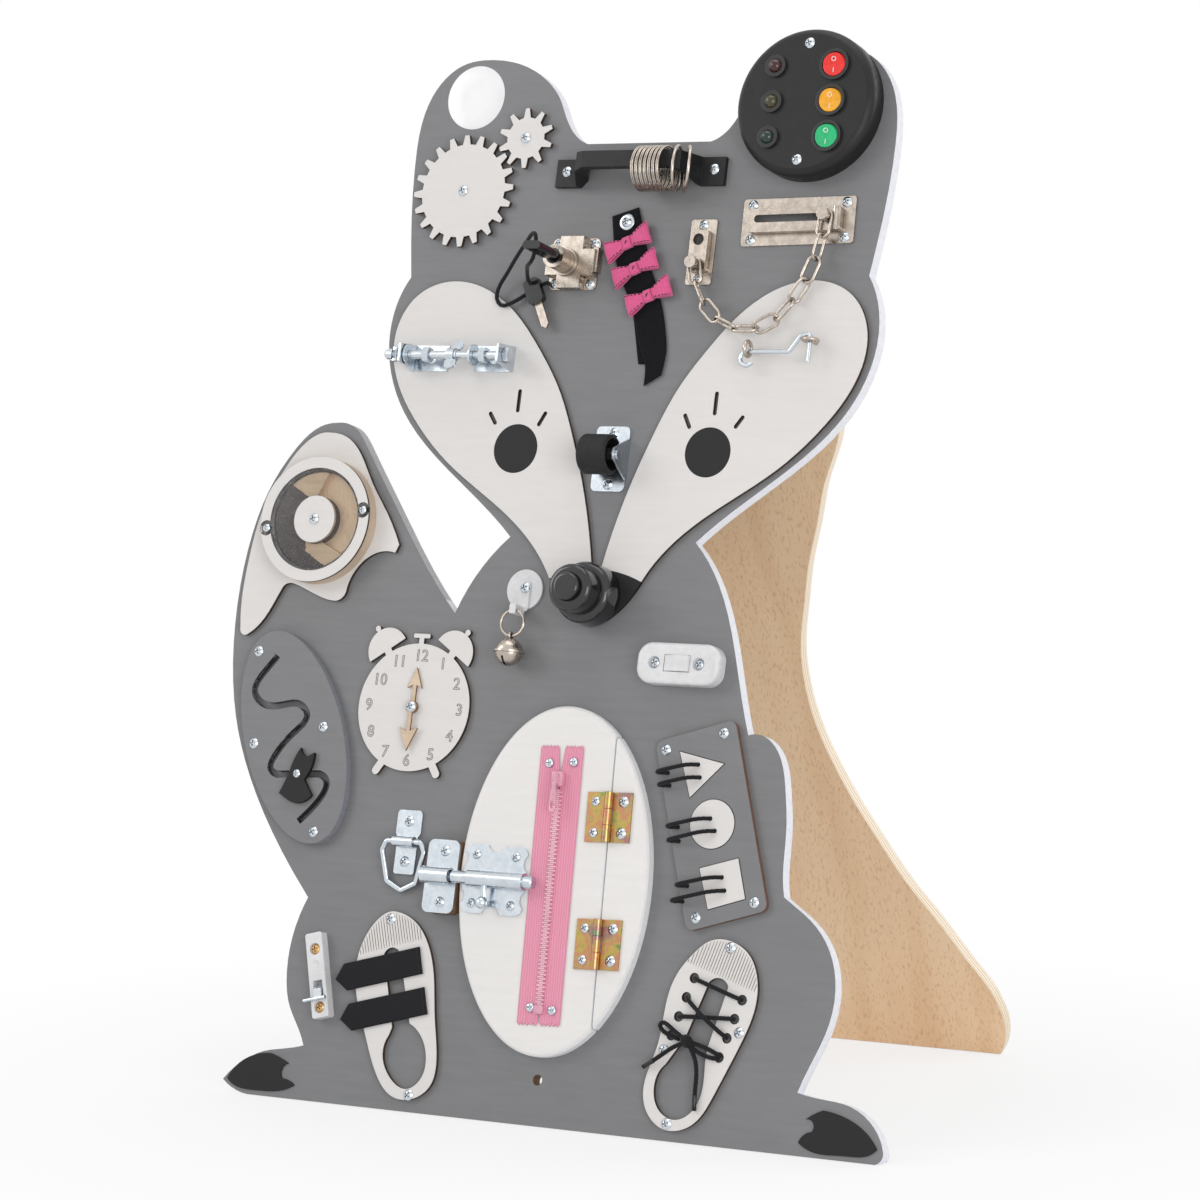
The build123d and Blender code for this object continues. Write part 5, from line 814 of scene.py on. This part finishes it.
# ------------------------------------------------------------------ ribbon and felt bows
# Two lengths of black velvet ribbon under a cup washer, with three bows of pink felt. Each
# bow is one strip laid in two loops, stitched with black thread and bound by a short band.
velvet = mottled("velvet", 1500.0, (0.004, 0.004, 0.005), (0.014, 0.014, 0.016), 0.9, (0.00015, 0.6),
                 ("Specular IOR Level", 0.1), ("Sheen Weight", 0.12), ("Sheen Roughness", 0.4))
felt = mottled("felt", 1100.0, (0.66, 0.075, 0.225), (0.82, 0.135, 0.33), 0.85, (0.00018, 0.6),
               ("Sheen Weight", 0.3), detail=4.0, ragged=0.6)
thread = mottled("thread", 2500.0, (0.008, 0.007, 0.01), (0.03, 0.03, 0.035), 0.6)


def through(points, count):
    """COUNT places on the smooth line through points: Catmull-Rom cubics between neighbours."""
    points = np.asarray(points, dtype=float)
    padded = np.vstack([2 * points[0] - points[1], points, 2 * points[-1] - points[-2]])
    at = np.linspace(0, len(points) - 1, count)
    first = np.minimum(at.astype(int), len(points) - 2)
    t = (at - first)[:, None]
    a, b, c, d = (padded[first + step] for step in range(4))
    square, cube = 2 * a - 5 * b + 4 * c - d, 3 * b - a - 3 * c + d
    return 0.5 * (2 * b + (c - a) * t + square * t ** 2 + cube * t ** 3)


def spread(left, right, rows, columns, height):
    """A sheet between two edge lines; HEIGHT gives its w from the shares along and across."""
    down, across = np.meshgrid(np.linspace(0, 1, rows), np.linspace(0, 1, columns), indexing="ij")
    left, right = through(left, rows)[:, None], through(right, rows)[:, None]
    flat = left + (right - left) * across[..., None]
    return np.dstack([flat, height(down, across)])


def solid(piece, thickness):
    """Gives a sheet its thickness, half to each side."""
    wall = piece.modifiers.new("thickness", "SOLIDIFY")
    wall.thickness = thickness
    wall.offset = 0


RIBBON_LEFT = [(-22, 649), (-14, 615), (2, 583), (12, 556), (19, 540), (20, 525)]
RIBBON_RIGHT = [(-1, 655.5), (13, 615), (27, 583), (34, 556), (34.5, 545), (33, 533)]
for name, left, right, steps, spans, cut_size, height in (
    ("ribbon", RIBBON_LEFT, RIBBON_RIGHT, (90, 14), (0.13, 0.022), (0.0215, 0.133),
     lambda t, s: 1.45 + 0.12 * np.sin(9 * t) + 0.10 * np.cos(math.pi * s) * np.sin(5 * t)),
    ("under_ribbon", [(-1, 598), (13, 541)], [(9, 598), (21, 541)], (30, 8), (0.059, 0.010),
     (0.0102, 0.0590), lambda t, s: 0.45 + 0.05 * np.sin(9 * t)),
):
    grid = leaned(spread(left, right, *steps, height))
    length = surface(name, grid, velvet, "board", size=spans)
    solid(length, 0.0006)
    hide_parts("bow_ribbon")

BOW_TURN = math.radians(22)
BOW_REACH, BOW_MID_W, BOW_SWELL = 18.0, 4.6, 2.1
BOW_MIDDLES = [(-5.3, 628.7), (3.2, 609.8), (16.7, 589.9)]
BAND_HALF, BAND_REACH, BAND_SWELL = 3.0, 4.1, 2.3


def powered(value, power):
    """The value's size raised to a power, with its own sign."""
    return np.sign(value) * np.abs(value) ** power


def bow_place(at, angle, across):
    """On a bow's strip: ANGLE runs round a figure of eight in u and w, so that each loop goes
    out in front and comes back behind, and ACROSS, from -1 to 1, spans a width that flares."""
    out = np.sin(angle)
    half = 2.6 + 5.6 * np.abs(out) ** 1.1
    y = across * half + out * 1.3 + 0.6 * np.sin(3 * across) * np.abs(out)
    w = BOW_MID_W + BOW_SWELL * np.sin(2 * np.abs(angle)) * (1 - 0.12 * across ** 2)
    w = w + 0.35 * np.cos(5 * across) * np.abs(out)
    return np.stack([*turned_about(at, BOW_REACH * out, y, BOW_TURN), w], -1)


def dashes(starts, ends, radius, sides=6):
    """Short rods with rounded ends from each start to each end, as one grid of rows per rod."""
    reach = ends - starts
    axis = reach / np.linalg.norm(reach, axis=1)[:, None]
    side = np.cross(axis, (0.31, 0.22, 0.92))
    side /= np.linalg.norm(side, axis=1)[:, None]
    other = np.cross(axis, side)
    share = np.array([0, 0.04, 0.2, 0.8, 0.96, 1.0])
    swell = np.array([0.2, 0.7, 1, 1, 0.7, 0.2])
    angle = round_angles(sides)
    ring = np.cos(angle)[None, :, None] * side[:, None] + np.sin(angle)[None, :, None] * other[:, None]
    middle = starts[:, None] + share[None, :, None] * reach[:, None]
    return middle[:, :, None] + radius * swell[None, :, None, None] * ring[:, None]


def many(name, grids, material, body, smooth=True):
    """One piece from many small closed grids of the same size."""
    count, rows, columns = grids.shape[:3]
    begin = np.arange(count)[:, None] * rows * columns
    quads = (np.array(wrapped(grids[0], True, False, False)) + begin[..., None]).reshape(-1, 4)
    first = np.arange(columns)[::-1] + begin
    last = np.arange(columns) + begin + (rows - 1) * columns
    mesh = bpy.data.meshes.new(name)
    mesh.from_pydata(grids.reshape(-1, 3).tolist(), [], quads.tolist() + first.tolist() + last.tolist())
    facing_out(mesh)
    mesh.polygons.foreach_set("use_smooth", np.full(len(mesh.polygons), smooth))
    return placed(name, mesh, body, material)


for number, at in enumerate(BOW_MIDDLES):
    angle, across = np.meshgrid(round_angles(96), np.linspace(-1, 1, 15), indexing="ij")
    grid = leaned(bow_place(at, np.where(angle > math.pi, angle - 2 * math.pi, angle), across))
    loops = surface(f"bow_{number}", grid, felt, "board", onward=True)
    solid(loops, 0.0009)
    turn, across = np.meshgrid(round_angles(40), np.linspace(-1, 1, 7), indexing="ij")
    x = BAND_HALF * across * (1 - 0.12 * np.cos(turn))
    u, v = turned_about(at, x, BAND_REACH * powered(np.cos(turn), 0.6), BOW_TURN)
    grid = leaned(np.stack([u, v, BOW_MID_W + BAND_SWELL * powered(np.sin(turn), 0.7)], -1))
    band = surface(f"bow_band_{number}", grid, felt, "board", onward=True)
    solid(band, 0.0008)
    ends = []
    for side in (-1, 1):
        for edge in (-0.84, 0.84):
            first = side * np.linspace(0.28, 1.22, 6)
            second = first + side * 0.11
            ends.append(np.stack([bow_place(at, first, edge), bow_place(at, second, edge)], 1))
    ends = np.concatenate(ends) + (0, 0, 0.55)
    top = BOW_MID_W + 2.9
    middle = np.array([[(at[0] + 0.5, at[1] + 1.4, top), (at[0] - 0.5, at[1] - 1.4, top)]])
    ends = leaned(np.concatenate([ends, middle]))
    stitches = many(f"bow_stitches_{number}", dashes(ends[:, 0], ends[:, 1], 0.00042), thread, "board")
    for piece in (loops, band, stitches):
        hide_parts("bow_ribbon")


def lathed(at, profile, count):
    """A profile of (radius, w) pairs carried round a place on the panel, in metres."""
    radius, w = np.array(profile).T[..., None]
    angle = round_angles(count)
    return leaned(np.stack([at[0] + radius * np.cos(angle), at[1] + radius * np.sin(angle),
                            np.repeat(w, count, 1)], -1))


CUP_PROFILE = [(1.7, 1.85), (1.7, 2.6), (3.2, 2.75), (5.0, 2.75), (5.8, 2.5), (6.2, 1.85)]
washer = surface("cup_washer", lathed((-9.0, 644.5), CUP_PROFILE, 48), zinc, "board",
                 around=True, onward=True)
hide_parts("bow_ribbon")

# ------------------------------------------------------------------ shoe straps
# Black twill webbing, cut to a point and hemmed flat on the shoe's right-hand side. One row
# of short black stitches crosses each strap near its square end.


def stripes(tree, vector, period, direction="X"):
    """Sine bands, one each PERIOD metres, along a direction of the vector."""
    return add(tree, "ShaderNodeTexWave", [("Vector", vector), ("Scale", math.pi / 10 / period)],
               bands_direction=direction).outputs["Fac"]


webbing, tree, shader = new_material("webbing")
twill = stripes(tree, spot(tree, "UV", turn=(0, 0, math.radians(62))), 0.00105)
weave = summed(tree, (twill, 1), (stripes(tree, spot(tree, "UV"), 0.0006), 0.3))
tone = ramp(tree, weave, (0.2, (0.004, 0.004, 0.005)), (0.95, (0.020, 0.020, 0.023)))
fill(shader, [("Base Color", tone), ("Roughness", 0.72), ("Specular IOR Level", 0.15),
              ("Sheen Weight", 0.05)])
bump(tree, shader, weave, 0.0002, 0.8)
STRAP_LENGTH, STRAP_HALF, STRAP_TURN = 71.09, 9.75, math.atan2(19, 68.5)
STRAP_POINT, POINT_HALF = 8, 0.4
SEAM_INSET, SEAM_W, STITCH_HALF = 2.4, 4.82, 0.55
for name, tip in (("upper", (-171.7, 88)), ("lower", (-163.7, 60))):
    lengths = np.concatenate([np.linspace(0, STRAP_POINT, 14), np.linspace(9, STRAP_LENGTH, 60)])
    along, across = np.meshgrid(lengths, np.linspace(-1, 1, 15), indexing="ij")
    y = across * np.minimum(STRAP_HALF, POINT_HALF + along / STRAP_POINT * (STRAP_HALF - POINT_HALF))
    w = 4.15 + 0.16 * np.sin(along / 9) + 0.10 * np.cos(math.pi * across)
    grid = leaned(np.stack([*turned_about(tip, along, y, STRAP_TURN), w], -1))
    strap = surface(f"{name}_strap_webbing", grid, webbing, f"{name}_strap",
                    size=(STRAP_LENGTH / 1000, 2 * STRAP_HALF / 1000))
    solid(strap, 0.0011)
    sewn = np.linspace(-8.6, 8.6, 12)
    ends = []
    for shift in (-STITCH_HALF, STITCH_HALF):
        u, v = turned_about(tip, STRAP_LENGTH - SEAM_INSET, sewn + shift, STRAP_TURN)
        ends.append(leaned(np.stack([u, v, np.full(12, SEAM_W)], -1)))
    seam = many(f"{name}_strap_seam", dashes(*ends, 0.0002), thread, f"{name}_strap")
    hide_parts(f"strap_{name}")
    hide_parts(f"strap_{name}")

# ------------------------------------------------------------------ zipper
# Chunky moulded zipper: two woven pink tapes with pinked ends, a row of pale teeth on each,
# a box at the bottom and a slider with a clear pink pull. Four screws hold the tapes.
DOOR_MID, DOOR_TURN = (-2.5, 170.5), math.radians(2.0)


def on_door(points):
    """Door places (x, y, w) turned by the door's lean, as panel places in metres."""
    x, y, w = np.moveaxis(np.asarray(points, dtype=float), -1, 0)
    return leaned(np.stack([*turned_about(DOOR_MID, x, y, DOOR_TURN), w], -1))


tape_weave, tree, shader = new_material("tape_weave")
slanted = stripes(tree, spot(tree, "UV", turn=(0, 0, math.radians(40))), 0.0011)
weave = summed(tree, (stripes(tree, spot(tree, "UV"), 0.0019, "Y"), 0.8), (slanted, 0.6),
               (stripes(tree, spot(tree, "UV"), 0.00085), 0.25))
tone = ramp(tree, math_of(tree, "MULTIPLY", weave, 0.6), (0.1, (0.74, 0.24, 0.37)),
            (0.9, (0.90, 0.39, 0.51)))
fill(shader, [("Base Color", tone), ("Roughness", 0.75), ("Sheen Weight", 0.2)])
bump(tree, shader, weave, 0.00022, 0.7)
tooth_pink = moulded("tooth_pink", (0.93, 0.54, 0.64), 0.3, coat=0.2)
pull_pink = tinted("pull_pink", (0.93, 0.45, 0.58), 0.2, 0.0, 0.1)
TAPE_FOOT, TAPE_HEAD, TAPE_REACH, TAPE_W, TAPE_TOP = -102, 95, 16.9, 9.9, 10.5
for side, name in ((-1, "left"), (1, "right")):
    share = np.linspace(0, 1, 33)
    notch = 2.4 * np.abs(((share * 5) % 1) - 0.5) * 2
    low, high = TAPE_FOOT + notch, TAPE_HEAD - notch
    y = low[None] + (high - low)[None] * np.linspace(0, 1, 150)[:, None]
    inner = 0.5 + 2.0 * np.clip((y - 72) / 20, 0, 1) ** 1.5 + 0.5 * np.clip((-90 - y) / 12, 0, 1)
    x = side * (inner + (TAPE_REACH - inner) * share[None])
    w = TAPE_W + 0.16 * np.cos(share * math.pi * 2)[None] * np.ones_like(y)
    grid = on_door(np.stack([x, y, w], -1))
    tape = surface(f"zipper_tape_{name}", grid, tape_weave, "door", size=(0.197, 0.0156))
    solid(tape, 0.0007)
    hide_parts("zipper_tape")

TOOTH_PITCH, TEETH_LOW, TEETH_HIGH = 1.45, -88, 63.5
places = np.arange(TEETH_LOW, TEETH_HIGH, TOOTH_PITCH)
sides = np.where(np.arange(len(places)) % 2, 1, -1)
profile = np.array([(-0.66, 0.0), (-0.66, 1.2), (-0.46, 1.62), (0.46, 1.62), (0.66, 1.2), (0.66, 0.0)])
reach = np.array([-1.6, -1.3, -0.3, 0.9, 2.0, 3.0, 3.3])
width = np.array([0.95, 1.08, 1.05, 1.0, 1.05, 1.0, 0.85])
teeth = np.stack(np.broadcast_arrays(
    (sides[:, None] * reach[None])[:, :, None],
    places[:, None, None] + profile[None, None, :, 0] * width[None, :, None],
    TAPE_TOP + profile[None, None, :, 1] * np.clip(width, 0.8, 1)[None, :, None]), -1)
zipper_teeth = many("zipper_teeth", on_door(teeth), tooth_pink, "door", smooth=False)
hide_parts("zipper_tape")


def rounded_block(name, low, high, body, power=0.3):
    """A block with rounded edges: a superellipsoid, whose sines and cosines are raised to a power."""
    turn, rise = np.meshgrid(round_angles(48), np.linspace(-math.pi / 2 + 0.01, math.pi / 2 - 0.01, 25))
    low, high = np.asarray(low, float), np.asarray(high, float)
    level = powered(np.cos(rise), power)
    unit = np.stack([level * powered(np.cos(turn), power), level * powered(np.sin(turn), power),
                     powered(np.sin(rise), power)], -1)
    grid = on_door((low + high) / 2 + unit * (high - low) / 2)
    return surface(name, grid, pull_pink, body, around=True, ends=True)


stop = rounded_block("zipper_box", (-3.6, -93.5, 10.6), (3.6, -87.5, 13.0), "door", 0.22)
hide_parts("zipper_tape")
slider_low = rounded_block("slider_base", (-4.4, 65.3, 10.9), (4.4, 75.8, 15.3), "zip_slider")
slider_bridge = rounded_block("slider_bridge", (-1.7, 66.5, 14.4), (1.7, 74.6, 17.0), "zip_slider")
PULL_Y, PULL_STEPS = 57.5, 72
angle = round_angles(PULL_STEPS)
sine, cosine = np.sin(angle), np.cos(angle)
outer = np.stack([powered(cosine, 0.45) * (2.35 + 0.75 * np.clip(-sine, -0.6, 1)),
                  11 * powered(sine, 0.7)], -1)
inner = np.stack([1.45 * cosine, -6.0 + 2.3 * sine], -1)
levels = [(outer, 17.15), (outer * 0.99, 18.0), (outer * 0.93, 18.25), (inner * (1.08, 1), 18.25),
          (inner, 18.1), (inner, 17.2)]
pull_grid = np.stack([np.column_stack([shape[:, 0], PULL_Y + shape[:, 1], np.full(PULL_STEPS, w)])
                      for shape, w in levels])
pull = surface("slider_pull", on_door(pull_grid), pull_pink, "zip_slider", around=True,
               onward=True)
for piece in (slider_low, slider_bridge, pull):
    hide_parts("zipper_slider")


def screw_grid(radius, height):
    """A pan head: a quarter of a squared-off ellipse turned about its axis, with a cross sunk
    into its top wherever x or y is small."""
    share = np.concatenate([np.linspace(0.02, 0.62, 14), np.linspace(0.66, 1.0, 9)])
    r, a = np.meshgrid(share * radius, round_angles(48), indexing="ij")
    w = height * np.sqrt(np.clip(1 - (r / radius) ** 2.6, 0, 1))
    x, y = r * np.cos(a), r * np.sin(a)
    cross = (np.minimum(np.abs(x), np.abs(y)) < 0.42) & (r < radius * 0.58)
    return np.stack([x, y, w - 0.9 * cross], -1)


for number, (x, y) in enumerate([(-9.2, 82.0), (10.2, 83.0), (-7.2, -89.2), (10.2, -90.6)]):
    grid = on_door(screw_grid(3.4, 2.0) + (x, y, TAPE_TOP))
    screw = surface(f"zipper_screw_{number}", grid, zinc, "door", around=True, ends=True)
    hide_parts("zipper_tape")

# ------------------------------------------------------------------ sand wheel
# Birch floor under a white ring and hub, and a clear window over dark seeds that lie on the
# left and lower left. Two small screws hold the window's tabs.
WHEEL_MID = (-234.0, 420.0)
HEAP_SLOPE, HEAP_UPPER, HEAP_LOWER, HEAP_LEFT = 0.60, 10.5, -27.5, -7.5
seed_brown, tree, shader = new_material("seed_brown")
speckle = ramp(tree, cloud(tree, spot(tree), 900.0), (0.3, (0.035, 0.022, 0.022)),
               (0.55, (0.10, 0.07, 0.065)), (0.72, (0.30, 0.22, 0.20)))
fill(shader, [("Base Color", speckle), ("Roughness", 0.5)])
bump(tree, shader, cloud(tree, spot(tree), 700.0), 0.0006, 0.8)

wheel_middle = nodes["sand_wheel"].matrix_world.inverted() @ Vector(leaned((*WHEEL_MID, 0)))
heap, tree, shader = new_material("seed_heap")
place = add(tree, "ShaderNodeVectorMath", [(0, spot(tree)), (1, tuple(wheel_middle))],
            operation="SUBTRACT").outputs[0]
right, slant = (measured(tree, place, tuple(np.array(way) @ PANEL_AXES))
                for way in ((1, 0, 0), (HEAP_SLOPE, 1, 0)))
upper = math_of(tree, "MULTIPLY", math_of(tree, "LESS_THAN", slant, HEAP_UPPER / 1000),
                math_of(tree, "LESS_THAN", right, HEAP_LEFT / 1000))
heaped = math_of(tree, "MAXIMUM", upper, math_of(tree, "LESS_THAN", slant, HEAP_LOWER / 1000))
# Painted shade: the heap's seeds are coloured darker than the loose seeds, as shade between the grains.
grain = ramp(tree, cloud(tree, spot(tree), 900.0), (0.3, (0.012, 0.008, 0.008)), (0.6, (0.05, 0.035, 0.03)))
plain = ramp(tree, cloud(tree, spot(tree, scale=(0.14, 1, 1)), 210.0), (0.3, (0.72, 0.52, 0.33)),
             (0.7, (0.85, 0.64, 0.42)))
fill(shader, [("Base Color", mix(tree, heaped, plain, grain)), ("Roughness", 0.5)])
bump(tree, shader, cloud(tree, spot(tree), 700.0), 0.0003, 0.6)

wheel_edge, tree, shader = new_material("wheel_edge")
layers = ramp(tree, plies(tree, OUTWARD, 0.0022), (0.0, (0.62, 0.50, 0.38)), (0.6, (0.62, 0.50, 0.38)),
              (0.9, (0.36, 0.25, 0.17)))
fill(shader, [("Base Color", layers), ("Roughness", 0.6)])
bump(tree, shader, cloud(tree, spot(tree), 500.0), 0.0001, 0.5)

window_clear, tree, shader = new_material("window_clear")
clear = add(tree, "ShaderNodeBsdfTransparent", [("Color", (0.98, 0.98, 0.98, 1))])
shine = add(tree, "ShaderNodeBsdfGlossy", [("Roughness", 0.08)])
fresnel = add(tree, "ShaderNodeFresnel", [("IOR", 1.45)])
part_shine = math_of(tree, "MULTIPLY", fresnel.outputs[0], 0.7)
glass = add(tree, "ShaderNodeMixShader", [(0, part_shine), (1, clear.outputs[0]), (2, shine.outputs[0])])
fill(tree.nodes["Material Output"], [("Surface", glass.outputs[0])])
tree.nodes.remove(shader)
TAB_AT, TAB_RADIUS, TAB_SCREW_RADIUS = (40.8, 7.7), 5.7, 3.2
WINDOW_INNER, WINDOW_OUTER, WELL_RADIUS, RIM_RADIUS = 17.55, 38.2, 35.85, 46.2
BACK_TOP, WELL_LOW, WELL_TOP, WINDOW_LOW, RIM_TOP, SCREW_TOP = 6.32, 6.25, 10.35, 12.0, 12.4, 14.35


def wheel_part(u, v, w):
    """0 paint, 1 birch back, 2 window with its tabs, 3 floor of the seeds' well, 4 the tabs'
    screws or 5 ply rim, by the triangle's distance from the middle and its lowest and highest w."""
    x, y = u - WHEEL_MID[0], v - WHEEL_MID[1]
    far, low, top = np.hypot(x, y), w.min(1), w.max(1)
    near_tab = np.where(x * y > 0, np.hypot(np.abs(x) - TAB_AT[0], np.abs(y) - TAB_AT[1]), 99)
    window = ((far > WINDOW_INNER) & (far < WINDOW_OUTER)).all(1) | (near_tab < TAB_RADIUS).all(1)
    well = (far < WELL_RADIUS).all(1) & (far > WINDOW_INNER).all(1)
    part = np.zeros(len(u))
    part[top < BACK_TOP] = 1
    part[(low > WINDOW_LOW) & window] = 2
    part[(top < WELL_TOP) & (low > WELL_LOW) & well] = 3
    part[(near_tab < TAB_SCREW_RADIUS).all(1) & (top > SCREW_TOP)] = 4
    part[(far > RIM_RADIUS).all(1) & (top - low > 1) & (top < RIM_TOP)] = 5
    return part


paint_faces("sand_wheel", (white_overlay, birch, window_clear, heap, zinc, wheel_edge), wheel_part)
SEED_COUNT, SEED_HALF, SEED_FLOOR = 2600, 0.75, 10.2
rng = np.random.default_rng(7)
radius = np.sqrt(rng.uniform(18.4 ** 2, 35.2 ** 2, SEED_COUNT))
angle = rng.uniform(0, 2 * math.pi, SEED_COUNT)
x, y = radius * np.cos(angle), radius * np.sin(angle)
level = y + HEAP_SLOPE * x
keep = ((level < HEAP_UPPER) & (x < HEAP_LEFT)) | (level < HEAP_LOWER)
x, y = x[keep], y[keep]
lie = rng.uniform(0, math.pi, len(x))
half = np.stack([np.cos(lie), np.sin(lie), rng.uniform(-0.25, 0.25, len(x))], -1) * SEED_HALF
high = SEED_FLOOR + rng.uniform(-0.1, 0.5, len(x))
middle = np.stack([WHEEL_MID[0] + x, WHEEL_MID[1] + y, high], -1)
many("loose_seeds", dashes(leaned(middle - half), leaned(middle + half), 0.0007, 5), seed_brown,
     "seed_wheel")

# ------------------------------------------------------------------ engraving and label
# Clock numerals and toe ribs burnt into the paint as thin brown lines, and a plain white
# vinyl dot on the left ear.
burnt = mottled("burnt", 500.0, (0.075, 0.05, 0.035), (0.15, 0.10, 0.075), 0.8)
NUMERALS = {
    12: (-133.7, 324.9), 1: (-116, 319.7), 2: (-102.5, 305.7), 3: (-98, 287), 4: (-103.5, 268),
    5: (-117.3, 253.8), 6: (-136.7, 248.7), 7: (-155.3, 254.2), 8: (-169.6, 268.2),
    9: (-174, 287.5), 10: (-166, 306.2), 11: (-152.7, 320),
}
NUMERAL_HEIGHT, PAINT_W = 8.6, 3.02
for number, (u, v) in NUMERALS.items():
    lettered(f"numeral_{number}", str(number), NUMERAL_HEIGHT, (u, v, PAINT_W), 0, burnt, "board",
             outline=0.21)


def toe_ribs(name, corner, other, pitch=2.2):
    """Burnt lines from the line between two places up to the toe's edge. The edge is the upper
    chain of the corners' convex hull, in directions along and across that line."""
    corner, other = np.array(corner), np.array(other)
    length = np.linalg.norm(other - corner)
    across = (other - corner) / length
    up = np.array((-across[1], across[0]))
    places = mesh_of("shoe_panels")[1][:, :2] - corner
    flat = np.unique(np.round(np.stack([places @ across, places @ up], -1), 2), axis=0)
    flat = flat[(flat[:, 1] > -2) & (np.abs(flat[:, 0] - length / 2) < 45)]
    chain = []
    for place in flat:
        while len(chain) > 1 and np.linalg.det([chain[-1] - chain[-2], place - chain[-2]]) >= 0:
            chain.pop()
        chain.append(place)
    chain = np.array(chain)
    x = np.arange(1.2, length, pitch)
    top = np.interp(x, chain[:, 0], chain[:, 1]) - 1.0
    x, top = x[top > 1.5], top[top > 1.5]
    foot, head = (np.column_stack([corner + x[:, None] * across + y[:, None] * up, np.full(len(x), 3.0)])
                  for y in (np.zeros(len(x)), top))
    many(name, dashes(leaned(foot), leaned(head), 0.00022), burnt, "board")


toe_ribs("toe_ribs_left", (-155.4, 106.9), (-104.7, 121.9))
toe_ribs("toe_ribs_right", (106.9, 122.4), (163.1, 105.6))
vinyl = mottled("vinyl", 40.0, (0.86, 0.86, 0.87), (0.92, 0.92, 0.93), 0.3, (), ("Coat Weight", 0.2))
DOT_PROFILE = [(24.0, 0.02), (24.0, 0.16), (23.85, 0.2), (12.0, 0.2), (0.02, 0.2)]
surface("label_dot", lathed((-149.2, 740.5), DOT_PROFILE, 96), vinyl, "board", around=True,
        ends=True)
